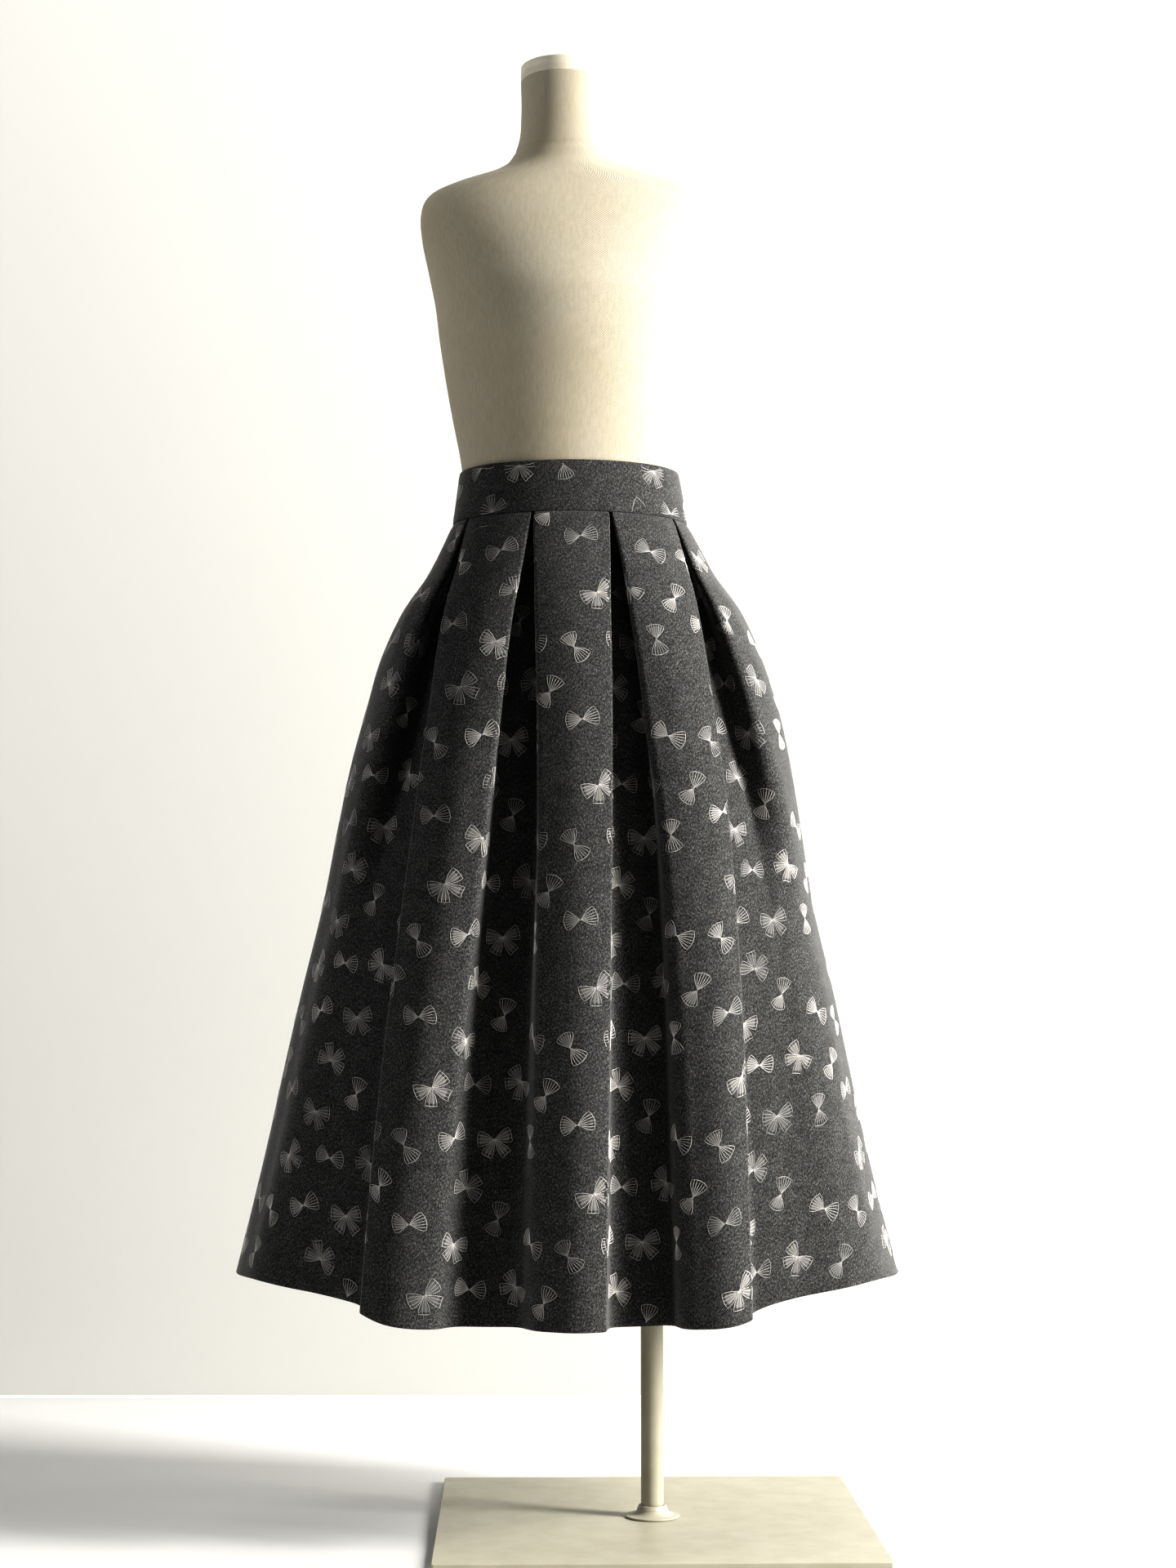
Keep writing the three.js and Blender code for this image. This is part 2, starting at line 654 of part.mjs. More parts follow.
function socketGeometry() {
  const bore = poleRadius + standGap;
  const top = torsoBottom - standGap;
  return turned([
    [bore, top - socketHeight],
    [socketRadius - 6, top - socketHeight],
    [socketRadius - 6, top - 4],
    [socketRadius, top - 4],
    [socketRadius, top],
    [bore, top],
    [bore, top - socketHeight],
  ], 32);
}

function poleGeometry() {
  const bottom = plateThickness + standGap;
  const height = torsoBottom - standGap - bottom;
  return new THREE.CylinderGeometry(poleRadius, poleRadius, height, 32)
    .rotateX(Math.PI / 2).translate(0, 0, bottom + height / 2);
}

// Materials
const flannel = new THREE.MeshStandardMaterial({ color: 0x3a3b3d, roughness: 0.95, metalness: 0 });
const lining = new THREE.MeshStandardMaterial({ color: 0x2a2b2d, roughness: 0.8, metalness: 0 });
const tape = new THREE.MeshStandardMaterial({ color: 0x303133, roughness: 0.9, metalness: 0 });
const zipMetal = new THREE.MeshStandardMaterial({ color: 0x55585c, roughness: 0.35, metalness: 1 });
const twill = new THREE.MeshStandardMaterial({ color: 0xd8d1bf, roughness: 0.9, metalness: 0 });
const capPaint = new THREE.MeshStandardMaterial({ color: 0xe4dfcc, roughness: 0.55, metalness: 0 });
const standPaint = new THREE.MeshStandardMaterial({ color: 0xd9d5c2, roughness: 0.5, metalness: 0.1 });

// Assembly
const model = new THREE.Group();

function add(name, geometry, material, parent = model) {
  const mesh = new THREE.Mesh(geometry, material);
  mesh.name = name;
  parent.add(mesh);
  return mesh;
}

const skirtRings = rings.map((row) => ringAt(row.down));
const seamRing = skirtRings[0];
const bagRings = skirtRings.filter((ring) => ring.down >= pocketTopDown && ring.down <= pocketBottomDown);
const tapeRings = tapeRows.map(ringAt);

add("waistband", waistbandGeometry(seamRing), flannel);
add("skirt_front", panelWall(skirtRings, "front", () => true), flannel);
add("skirt_back_right", panelWall(skirtRings, "back", (column) => column.place < 0), flannel);
add("skirt_back_left", panelWall(skirtRings, "back", (column) => column.place > 0), flannel);
add("pocket_left", pocketGeometry(bagRings, "back", "front"), lining);
add("pocket_right", pocketGeometry(bagRings, "front", "back"), lining);
add("zip_tape", tapeGeometry(seamRing, tapeRings), tape);

// The slider leans with the band, and its pull tab hangs plumb from its pin.
const bandLean = Math.atan2(seamRing.halfDepth - bandTopHalfDepth, bandTop - seamHeight);
const sliderRise = 1 - (sliderTopBelowBand + sliderSize.z / 2) / (bandTop - seamHeight);
const zipPlace = seamRing.backStart + centreOf(seamRing.back);
const slider = add("zip_slider", sliderGeometry(), zipMetal);
slider.position.copy(bandPoint(seamRing, zipPlace, sliderRise, sliderClearance));
slider.rotation.x = bandLean;
const pull = add("zip_pull", pullGeometry(), zipMetal);
const pinOffset = new THREE.Vector3(0, sliderSize.y + pinStandOff, 0);
pull.position.copy(slider.position).add(pinOffset.applyEuler(slider.rotation));

add("form_torso", torsoGeometry(), twill);
add("form_neck_cap", capGeometry(), capPaint).position.x = capX;

const stand = new THREE.Group();
stand.position.x = poleX;
stand.rotation.z = plateTurn;
model.add(stand);
add("pole_socket", socketGeometry(), standPaint, stand);
add("pole", poleGeometry(), standPaint, stand);
add("pole_flange", flangeGeometry(), standPaint, stand);
const plate = new THREE.BoxGeometry(plateSide, plateSide, plateThickness);
add("base_plate", plate.translate(0, 0, plateThickness / 2), standPaint, stand);

export default model;
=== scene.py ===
"""A pleated flannel midi skirt on a limbless dress form: its looks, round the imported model.

The object's lengths are millimetres, as in the model's source, until mesh_piece makes them metres. The
cut of the sheets, the stage, the lights and the camera are in metres. The front faces -Y, and left and
right are as seen from the front."""

import math

import bpy
import numpy as np
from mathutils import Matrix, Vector


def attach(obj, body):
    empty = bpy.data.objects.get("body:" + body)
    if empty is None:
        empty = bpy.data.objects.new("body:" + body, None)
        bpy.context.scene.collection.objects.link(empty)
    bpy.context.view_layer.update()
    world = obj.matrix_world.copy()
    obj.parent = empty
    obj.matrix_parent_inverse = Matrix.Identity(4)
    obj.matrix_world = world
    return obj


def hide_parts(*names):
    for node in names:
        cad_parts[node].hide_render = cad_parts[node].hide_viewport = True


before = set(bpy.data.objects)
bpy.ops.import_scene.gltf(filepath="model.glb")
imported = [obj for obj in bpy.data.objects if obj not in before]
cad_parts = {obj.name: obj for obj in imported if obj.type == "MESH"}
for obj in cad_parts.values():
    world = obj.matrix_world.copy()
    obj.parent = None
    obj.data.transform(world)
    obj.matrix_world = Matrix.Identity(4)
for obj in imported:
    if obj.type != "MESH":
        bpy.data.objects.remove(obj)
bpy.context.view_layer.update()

MM = 0.001


# Tables

class Table:
    """Rows of numbers with named columns, read on smooth curves through them. The first is the key."""

    def __init__(self, names, rows):
        self.columns = dict(zip(names.split(), np.array(rows, float).T))
        self.key = self.columns[names.split()[0]]

    def at(self, name, place):
        values, key = self.columns[name], self.key
        last = len(key) - 1
        index = np.arange(last + 1)
        before, after = np.maximum(index - 1, 0), np.minimum(index + 1, last)
        slopes = (values[after] - values[before]) / (key[after] - key[before])
        row = np.clip(np.searchsorted(key, place, side="left") - 1, 0, last - 1)
        step = key[row + 1] - key[row]
        t = np.clip((place - key[row]) / step, 0, 1)
        rise = values[row + 1] - values[row]
        start, end = slopes[row] * step, slopes[row + 1] * step
        bend = t * t * (3 * rise - 2 * start - end) + t**3 * (start + end - 2 * rise)
        return values[row] + t * start + bend


# Sizes of the skirt, the same as the model's

BAND_TOP = 1190
SEAM_HEIGHT = 1130
HEM_HEIGHT = 240
CLOTH = 1.6
BAND = 3.0
SEAM_GAP = 0.3
WAIST_CENTRE = 3
BAND_TOP_HALF_WIDTH = 126.6
BAND_TOP_HALF_DEPTH = 96
SEAM_HALF_WIDTH = 135.4
PANEL = 87.4
SEAM_INTAKE = 87
HEM_INTAKE = 132
FOLD_HALF_WIDTH = 2.5
INNER_SPREAD = 13
HEM_BOW = math.radians(25)
OUTER_FADE_FROM = 0.3
OUTER_FADE_TO = 0.58
OUTER_FADE = 0.88

RINGS = Table("down left right side corner turn", [
    (0.00, 134.5, 136.5, 56, 0.00, 3.5),
    (0.03, 145.5, 150, 66.5, 0.05, 3.5),
    (0.07, 162, 168, 81.5, 0.10, 4),
    (0.12, 190, 198, 101.5, 0.20, 4),
    (0.18, 211, 220, 110, 0.30, 5),
    (0.25, 227.5, 237.5, 112, 0.40, 6),
    (0.33, 246, 251, 107.5, 0.50, 6),
    (0.42, 262.5, 264.5, 97.5, 0.60, 6),
    (0.52, 279.5, 280, 97, 0.70, 5),
    (0.62, 300, 300, 111.5, 0.80, 4),
    (0.72, 319, 317.5, 127, 0.88, 3),
    (0.82, 337, 335, 142.5, 0.94, 2),
    (0.91, 354.5, 353.5, 159, 0.98, 1.5),
    (1.00, 373, 374, 176.5, 1.00, 1),
])

# How far apart the two edges of each pleat stand: a to d across the front, e to h round the back
OPENINGS = Table("down a b c d e f g h", [
    (0.00, 0.6, 0.6, 0.6, 0.6, 0.6, 0.6, 0.6, 0.6),
    (0.07, 11, 11, 12, 10, 10, 10, 10, 11),
    (0.18, 30, 27, 25, 31, 31, 22, 24, 30),
    (0.27, 43, 37, 34, 48, 47, 33, 35, 45),
    (0.38, 56, 49, 48, 64, 61, 50, 52, 62),
    (0.60, 72, 70, 63, 75, 73, 66, 67, 72),
    (0.80, 78, 86, 71, 79, 79, 74, 75, 76),
    (1.00, 84, 98, 77, 82, 83, 79, 81, 80),
])

# How far the press creases at each pleat's edges have spread by the hem: on the panel before it, in
# the fold on both sides, and on the panel after it
CREASES = {
    "front": [("a", 50, 14, 2, 3), ("b", 8, 10, 4, 26), ("c", 0, 0, 7, 30), ("d", 2, 1, 14, 50)],
    "back": [("e", 44, 12, 2, 5), ("f", 27, 8, 1, 2), ("g", 6, 3, 8, 26), ("h", 4, 2, 13, 46)],
}

# The hem's plan against a plain oval, from 0 at the front and back to 90 at the sides
HEM_PLAN = Table("quarter_angle reach", [
    (0, 1.0), (15, 1.02), (30, 1.06), (45, 1.065), (57, 1.07), (72, 1.03), (82, 1.01), (90, 1.0),
])

# How far the hem rises towards the sides, from 0 at the centre front and back to 1 at the sides
HEM_RISES = Table("across rise", [
    (0, 0), (0.34, 1), (0.49, 6), (0.64, 23), (0.83, 36), (0.94, 42), (1, 41),
])

# How far down the skirt the pockets, their mouths and the zip's tape reach, as shares of it, and their
# widths. Away from a mouth the side seam is all but closed.
POCKET_TOP = 0.07
POCKET_BOTTOM = 0.33
MOUTH_END = 0.25
MOUTH_EASE = 0.02
MOUTH_GAP = 1.8
SIDE_SEAM_GAP = 0.06
POCKET_THICKNESS = 2.4
TAPE_END = 0.165
TAPE_HALF_WIDTH = 11


def smoothstep(place, start, end):
    t = np.clip((place - start) / (end - start), 0, 1)
    return t * t * (3 - 2 * t)


def swell(distance, reach):
    """A soft hump, 1 at no distance and near 0 at twice its reach."""
    return np.exp(-((distance / reach) ** 2))


# The skirt's surface

def outline(down, half_depth, steps=480):
    """A ring's plain outline from the centre front round by the right: points, and the length run."""
    angle = np.linspace(0, 2 * np.pi, steps + 1)
    across, forward = np.sin(angle), np.cos(angle)
    quarter = np.degrees(np.arctan2(abs(across), abs(forward)))
    reach = 1 + RINGS.at("corner", down) * (HEM_PLAN.at("reach", quarter) - 1)
    half_width = np.where(across < 0, RINGS.at("left", down), RINGS.at("right", down))
    x = WAIST_CENTRE * (1 - down) + half_width * reach * across
    points = np.stack([x, -half_depth * reach * forward], 1)
    length = np.concatenate([[0], np.cumsum(np.linalg.norm(np.diff(points, axis=0), axis=1))])
    return points, length


def half_depth_for(down, wanted):
    """The half depth at which a ring's outline is as long as its opened-out cloth."""
    low, high = 60.0, 520.0
    halvings, steps = 22, 240
    for _ in range(halvings):
        middle = (low + high) / 2
        if outline(down, middle, steps)[1][-1] < wanted:
            low = middle
        else:
            high = middle
    return (low + high) / 2


def on_outline(points, length, places):
    """Places on an outline, and the directions along it and outward there."""
    places = np.mod(places, length[-1])
    ring = points[:-1]
    along = np.roll(ring, -1, 0) - np.roll(ring, 1, 0)
    along /= np.linalg.norm(along, axis=1)[:, None]
    along = np.concatenate([along, along[:1]])
    at = np.stack([np.interp(places, length, points[:, k]) for k in (0, 1)], 1)
    along = np.stack([np.interp(places, length, along[:, k]) for k in (0, 1)], 1)
    along /= np.linalg.norm(along, axis=1)[:, None]
    return at, along, np.stack([along[:, 1], -along[:, 0]], 1)


def intake_at(down):
    """How much cloth each pleat takes in."""
    return SEAM_INTAKE + (HEM_INTAKE - SEAM_INTAKE) * down


def bow_at(down):
    """How far a panel is turned out and in at its two edges."""
    return HEM_BOW * math.sqrt(down)


def folds_of(half, down):
    """The folds of a half skirt: where each starts, lies and ends, and how far it turns the cloth."""
    faded = down**0.8
    inner = FOLD_HALF_WIDTH + INNER_SPREAD * faded
    intake, bow = intake_at(down), bow_at(down)
    outer = 1 - OUTER_FADE * smoothstep(down, OUTER_FADE_FROM, OUTER_FADE_TO)
    folds = []
    for index, (pleat, panel_before, fold_before, fold_after, panel_after) in enumerate(CREASES[half]):
        spread = [FOLD_HALF_WIDTH + most * faded
                  for most in (panel_before, fold_before, fold_after, panel_after)]
        turn = math.acos(np.clip(2 * OPENINGS.at(pleat, down) / intake - 1, -1, 1))
        first_turn = turn * outer if index == 0 else turn
        last_turn = turn * outer if index == 3 else turn
        crest = PANEL / 2 + (index - 2) * (intake + PANEL)
        second, third, last = crest + intake / 4, crest + intake * 3 / 4, crest + intake
        folds += [
            (crest - spread[0], crest, crest + spread[1], first_turn - (bow if index > 0 else 0)),
            (second - inner, second, second + inner, -first_turn),
            (third - inner, third, third + inner, -last_turn),
            (last - spread[2], last, last + spread[3], last_turn - (bow if index < 3 else 0)),
        ]
    return folds


def half_cloth_at(down):
    """Half the width of the front's or the back's cloth, from its centre line to the side seam."""
    return 1.5 * PANEL + 2 * intake_at(down) + RINGS.at("side", down)


SIDE_COLUMNS = 26
FOLD_COLUMNS = 11
HALF_PANEL_COLUMNS = 7
FLAT_COLUMNS = (4, 6, 4, 11)
EDGE_COLUMN = 0.8


def between(start, end, count):
    """Evenly spread places from start to end, without those two."""
    return list(np.linspace(start, end, count)[1:-1])


def columns_of(folds, half_cloth):
    """Where the cloth gets its columns: many on each fold, and some on each flat."""
    edge = half_cloth - EDGE_COLUMN
    places = [-half_cloth, -edge, *between(-edge, folds[0][0], SIDE_COLUMNS)]
    for index, (start, _, end, _) in enumerate(folds):
        places += list(np.linspace(start, end, FOLD_COLUMNS))
        if index + 1 == len(folds):
            break
        following = folds[index + 1][0]
        if index == len(folds) // 2 - 1:
            places += between(end, -EDGE_COLUMN, HALF_PANEL_COLUMNS) + [-EDGE_COLUMN, 0, EDGE_COLUMN]
            places += between(EDGE_COLUMN, following, HALF_PANEL_COLUMNS)
        else:
            places += between(end, following, FLAT_COLUMNS[index % 4])
    return np.array(places + between(folds[-1][2], edge, SIDE_COLUMNS) + [edge, half_cloth])


def section_of(half, down, trim):
    """The folded section of a half skirt, opened out along the outline, without the trim at the seams."""
    folds = folds_of(half, down)
    half_cloth = half_cloth_at(down)
    places = columns_of(folds, half_cloth - trim)
    substeps = 8
    knots = np.concatenate([[-half_cloth], places])
    share = (np.arange(substeps) + 0.5) / substeps
    middles = (knots[:-1, None] + np.diff(knots)[:, None] * share).ravel()
    steps = np.repeat(np.diff(knots) / substeps, substeps)

    def turn_at(where):
        turned_by = sum(turn * smoothstep(where, start, end) for start, _, end, turn in folds)
        for index in (3, 7, 11):
            turned_by += 2 * bow_at(down) * smoothstep(where, folds[index][2], folds[index + 1][0])
        return turned_by

    turns = turn_at(middles)
    along = np.cumsum(np.cos(turns) * steps)[substeps - 1::substeps]
    out = -np.cumsum(np.sin(turns) * steps)[substeps - 1::substeps]
    for first in range(0, len(folds), 4):
        start = places[0] if first == 0 else folds[first][0]
        end = places[-1] if first == len(folds) - 4 else folds[first + 3][2]
        entry, leaving = np.interp([start, end], places, out)
        out -= (leaving - entry) * np.clip((places - start) / (end - start), 0, 1)
    return {"places": places, "along": along, "out": out, "turn": turn_at(places),
            "length": along[-1] + trim, "middle": np.interp(0, places, along)}


def mouth_share(down):
    """How open the pocket mouth is at a height, from 0 to 1."""
    closed = smoothstep(down, MOUTH_END - MOUTH_EASE, MOUTH_END)
    return smoothstep(down, POCKET_TOP, POCKET_TOP + MOUTH_EASE) * (1 - closed)


def ring_at(down):
    trim = (SIDE_SEAM_GAP + (MOUTH_GAP - SIDE_SEAM_GAP) * mouth_share(down)) / 2
    front, back = (section_of(half, down, trim) for half in ("front", "back"))
    depth = half_depth_for(down, front["length"] + back["length"])
    points, length = outline(down, depth)
    front["start"] = RINGS.at("turn", down) - front["middle"]
    back["start"] = front["start"] + front["length"]
    return {"down": down, "depth": depth, "points": points, "length": length, "front": front, "back": back}


def height_at(down, across):
    hem = HEM_HEIGHT + HEM_RISES.at("rise", abs(across) / RINGS.at("right", down))
    return SEAM_HEIGHT - SEAM_GAP + (hem - SEAM_HEIGHT + SEAM_GAP) * down


def cloth_points(ring, half, move):
    """A ring's cloth points, moved out from the middle of the cloth."""
    section = ring[half]
    at, along, outward = on_outline(ring["points"], ring["length"], section["along"] + section["start"])
    turn = section["turn"][:, None]
    facing = np.cos(turn) * outward + np.sin(turn) * along
    flat = at + outward * (section["out"] - CLOTH / 2)[:, None] + facing * np.reshape(move, (-1, 1))
    return np.column_stack([flat, height_at(ring["down"], at[:, 0])])


# Soft troughs and ridges of the cloth: where each starts and ends across the cloth and
# down it, how wide it is, and how far it lifts the cloth
SOFT_FOLDS = {
    "front": [
        (-375, -520, 0.10, 0.95, 34, 3.2),
        (-330, -395, 0.30, 1.00, 24, -2.2),
        (-410, -455, 0.16, 0.62, 26, -2.0),
        (-352, -340, 0.02, 0.20, 12, 1.0),
        (-128, -112, 0.04, 0.34, 16, -0.9),
        (-160, -170, 0.25, 0.80, 20, 1.5),
        (-22, -30, 0.18, 0.60, 18, -0.9),
        (24, 20, 0.50, 1.00, 20, 1.2),
        (150, 165, 0.03, 0.26, 15, 1.0),
        (182, 170, 0.30, 0.86, 22, -1.6),
        (330, 352, 0.02, 0.20, 13, 1.1),
        (352, 470, 0.14, 0.90, 32, 3.0),
        (398, 560, 0.30, 1.00, 30, -2.6),
        (336, 372, 0.45, 1.00, 22, 1.8),
    ],
    "back": [
        (-380, -545, 0.12, 1.00, 33, 3.0),
        (-340, -430, 0.22, 0.85, 27, -2.2),
        (-150, -162, 0.05, 0.40, 16, 1.1),
        (-170, -158, 0.40, 0.95, 22, -1.6),
        (-26, -34, 0.30, 0.90, 20, 1.2),
        (22, 30, 0.22, 0.70, 18, -1.0),
        (152, 168, 0.10, 0.55, 20, 1.4),
        (186, 176, 0.45, 1.00, 22, -1.5),
        (345, 460, 0.10, 0.80, 30, 2.8),
        (400, 575, 0.34, 1.00, 32, -2.6),
        (334, 360, 0.03, 0.24, 13, 1.0),
    ],
}


FOLD_FADE_IN = 0.12
FOLD_FADE_OUT = (-0.1, 0.05)


def seam_places(down, places):
    """Places as they would count if every pleat took in no more than at the seam."""
    crests = [[PANEL / 2 + index * (intake + PANEL) + edge for index in range(-2, 2) for edge in (0, intake)]
              for intake in (intake_at(down), SEAM_INTAKE)]
    beyond = np.maximum(abs(places) - crests[0][-1], 0) * np.sign(places)
    return np.interp(places, *crests) + beyond


def relief(half, down, places):
    """How far the soft folds lift the cloth at places across it."""
    places = seam_places(down, places)
    lift = np.zeros_like(places)
    for first, last, top, bottom, width, height in SOFT_FOLDS[half]:
        share = (down - top) / (bottom - top)
        gone = smoothstep(down, bottom + FOLD_FADE_OUT[0], bottom + FOLD_FADE_OUT[1])
        fade = smoothstep(down, top, top + FOLD_FADE_IN) * (1 - gone)
        middle = first + (last - first) * share
        lift += height * fade * swell(places - middle, width)
    return lift


HEM_ALLOWANCE_DOWN = 0.956
HEM_STEP = 0.004
SEAM_ROLL = 1.1
SEAM_ROLL_REACH = 0.006
SOFT_FOLD_EASE = 24
MOUTH_LIFT = 1.4
MOUTH_LIFT_REACH = 7
SEAM_DIP = 0.5
SIDE_DIP_REACH = 2.6
BACK_DIP_REACH = 2.4
EDGE_THICKNESS = 0.35


def row_downs():
    """How far down the rows of the cloth lie, closer together at the seam and at the hem."""
    return np.concatenate([[0, 0.0009, 0.004, 0.008], np.linspace(0.0125, 0.9915, 104), [0.9955, 0.9991, 1]])


class Cloth:
    """The surface of the front or the back as grids of points, inside and outside."""

    def __init__(self, half, rings):
        self.downs = np.array([ring["down"] for ring in rings])
        self.places = np.stack([ring[half]["places"] for ring in rings])
        outer, inner = [], []
        for ring in rings:
            down, places = ring["down"], ring[half]["places"]
            from_side = half_cloth_at(down) - abs(places)
            mouth = mouth_share(down)
            lift = relief(half, down, places) * smoothstep(from_side, 0, SOFT_FOLD_EASE)
            lift -= SEAM_ROLL * swell(down, SEAM_ROLL_REACH)
            lift += MOUTH_LIFT * mouth * swell(from_side, MOUTH_LIFT_REACH)
            lift -= SEAM_DIP * (1 - mouth) * swell(from_side, SIDE_DIP_REACH)
            if half == "back":
                lift -= SEAM_DIP * swell(places, BACK_DIP_REACH)
            half_thick = np.full_like(places, CLOTH / 2)
            half_thick[[0, -1]] *= EDGE_THICKNESS
            if down in (0, 1):
                half_thick *= EDGE_THICKNESS
            hem_layer = CLOTH * smoothstep(down, HEM_ALLOWANCE_DOWN, HEM_ALLOWANCE_DOWN + HEM_STEP)
            outer.append(cloth_points(ring, half, lift + half_thick))
            inner.append(cloth_points(ring, half, lift - half_thick - hem_layer))
        self.outer, self.inner = np.stack(outer), np.stack(inner)
        self.fall = np.linalg.norm(np.diff(self.outer, axis=0), axis=2).cumsum(0).mean(1)
        self.fall = np.concatenate([[0], self.fall])
        across = np.gradient(self.outer, axis=1)
        fall = np.gradient(self.outer, axis=0)
        normal = np.cross(fall, across)
        self.normal = normal / np.maximum(np.linalg.norm(normal, axis=2), 1e-9)[:, :, None]

    def length(self):
        return self.fall[-1]

    def half_width(self, falls):
        return half_cloth_at(np.interp(falls, self.fall, self.downs))

    def at(self, places, falls, height):
        """Points on the outside, by the place across the cloth and how far down it they lie."""
        row = np.clip(np.searchsorted(self.fall, falls, side="right") - 1, 0, len(self.fall) - 2)
        share = (falls - self.fall[row]) / (self.fall[row + 1] - self.fall[row])
        found = np.zeros((len(places), 3))
        for index in np.unique(row):
            here = row == index
            for level, weight in ((index, 1 - share[here]), (index + 1, share[here])):
                for grid, size in ((self.outer, 1.0), (self.normal, height[here])):
                    value = np.stack([np.interp(places[here], self.places[level], grid[level, :, k])
                                      for k in range(3)], 1)
                    found[here] += value * (weight * size)[:, None]
        return found


# Meshes

def mesh_piece(name, points, faces, material, body="root", places=None, tone=None):
    """A mesh from points in millimetres. places are cloth coordinates, and tone a shade per point."""
    mesh = bpy.data.meshes.new(name)
    mesh.from_pydata((np.asarray(points) * MM).tolist(), [], [tuple(face) for face in faces])
    mesh.polygons.foreach_set("use_smooth", np.ones(len(mesh.polygons), bool))
    if places is not None:
        flat = np.column_stack([np.asarray(places) * MM, np.zeros(len(points))])
        mesh.attributes.new("cloth_place", "FLOAT_VECTOR", "POINT").data.foreach_set("vector", flat.ravel())
    if tone is not None:
        mesh.attributes.new("tone", "FLOAT", "POINT").data.foreach_set("value", np.asarray(tone, float))
    mesh.materials.append(material)
    piece = bpy.data.objects.new(name, mesh)
    bpy.context.scene.collection.objects.link(piece)
    if body:
        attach(piece, body)
    return piece


def grid_faces(rows, columns, start=0, flip=False):
    """The quads of a grid of points that are listed row by row."""
    first = start + (np.arange(rows - 1)[:, None] * columns + np.arange(columns - 1)).ravel()
    quads = np.stack([first, first + columns, first + columns + 1, first + 1], 1)
    return quads[:, ::-1] if flip else quads


def shell(outer, inner):
    """The points and faces of a closed shell between two grids listed from the top, each row
    counterclockwise."""
    rows, columns = outer.shape[:2]
    count = rows * columns
    index = np.arange(count).reshape(rows, columns)
    rim = [index[:, 0], index[-1, :], index[::-1, -1], index[0, ::-1]]
    faces = [grid_faces(rows, columns), grid_faces(rows, columns, count, flip=True)]
    for edge in rim:
        faces.append(np.stack([edge[:-1], edge[:-1] + count, edge[1:] + count, edge[1:]], 1))
    return np.concatenate([outer.reshape(-1, 3), inner.reshape(-1, 3)]), np.concatenate(faces)


def shell_piece(name, node, grids, material):
    """A shell in place of a node, from rows of points outside and inside, and rows of cloth places."""
    outer, inner, places = grids
    points, faces = shell(np.stack(outer), np.stack(inner))
    flat = np.concatenate(places)
    piece = mesh_piece(name, points, faces, material, places=np.concatenate([flat, flat]))
    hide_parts(node)
    return piece


def tube_faces(rows, columns, closed=False):
    """The quads between rings of points that are listed ring by ring. Closed joins the last ring to the
    first."""
    row, column = np.divmod(np.arange((rows if closed else rows - 1) * columns), columns)
    following, beside = (row + 1) % rows, (column + 1) % columns
    return np.stack([row * columns + column, row * columns + beside,
                     following * columns + beside, following * columns + column], 1)


def turned(profile, segments, centre):
    """A solid of revolution about Z from a closed profile of radius and height."""
    profile = np.array(profile, float)
    angle = np.linspace(0, 2 * np.pi, segments, endpoint=False)
    x = centre[0] + profile[:, :1] * np.cos(angle)
    y = centre[1] + profile[:, :1] * np.sin(angle)
    z = np.repeat(profile[:, 1:], segments, 1)
    return np.stack([x, y, z], 2).reshape(-1, 3), tube_faces(len(profile), segments, closed=True)


# Materials

def grey(value, warm=0.0):
    """A near grey, a little warmer than neutral where warm is above 0."""
    return (value * (1 + warm), value, value * (1 - warm), 1)


class Nodes:
    """A node tree with a short way to add nodes to it."""

    def __init__(self, owner):
        owner.use_nodes = True
        self.tree = owner.node_tree

    def feed(self, node, name, value):
        """Sets an input, or links a socket to it."""
        if isinstance(value, bpy.types.NodeSocket):
            self.tree.links.new(value, node.inputs[name])
        else:
            node.inputs[name].default_value = value

    def add(self, kind, **values):
        """A node with its inputs set. An underscore in a name stands for a space."""
        node = self.tree.nodes.new("ShaderNode" + kind)
        for name, value in values.items():
            self.feed(node, name.replace("_", " "), value)
        return node

    def choose(self, factor, first, second, output):
        """Shows the first shader where the factor is 0, and the second where it is 1."""
        choice = self.add("MixShader")
        for index, value in enumerate((factor, first.outputs[0], second.outputs[0])):
            self.feed(choice, index, value)
        self.feed(self.tree.nodes[output], "Surface", choice.outputs[0])


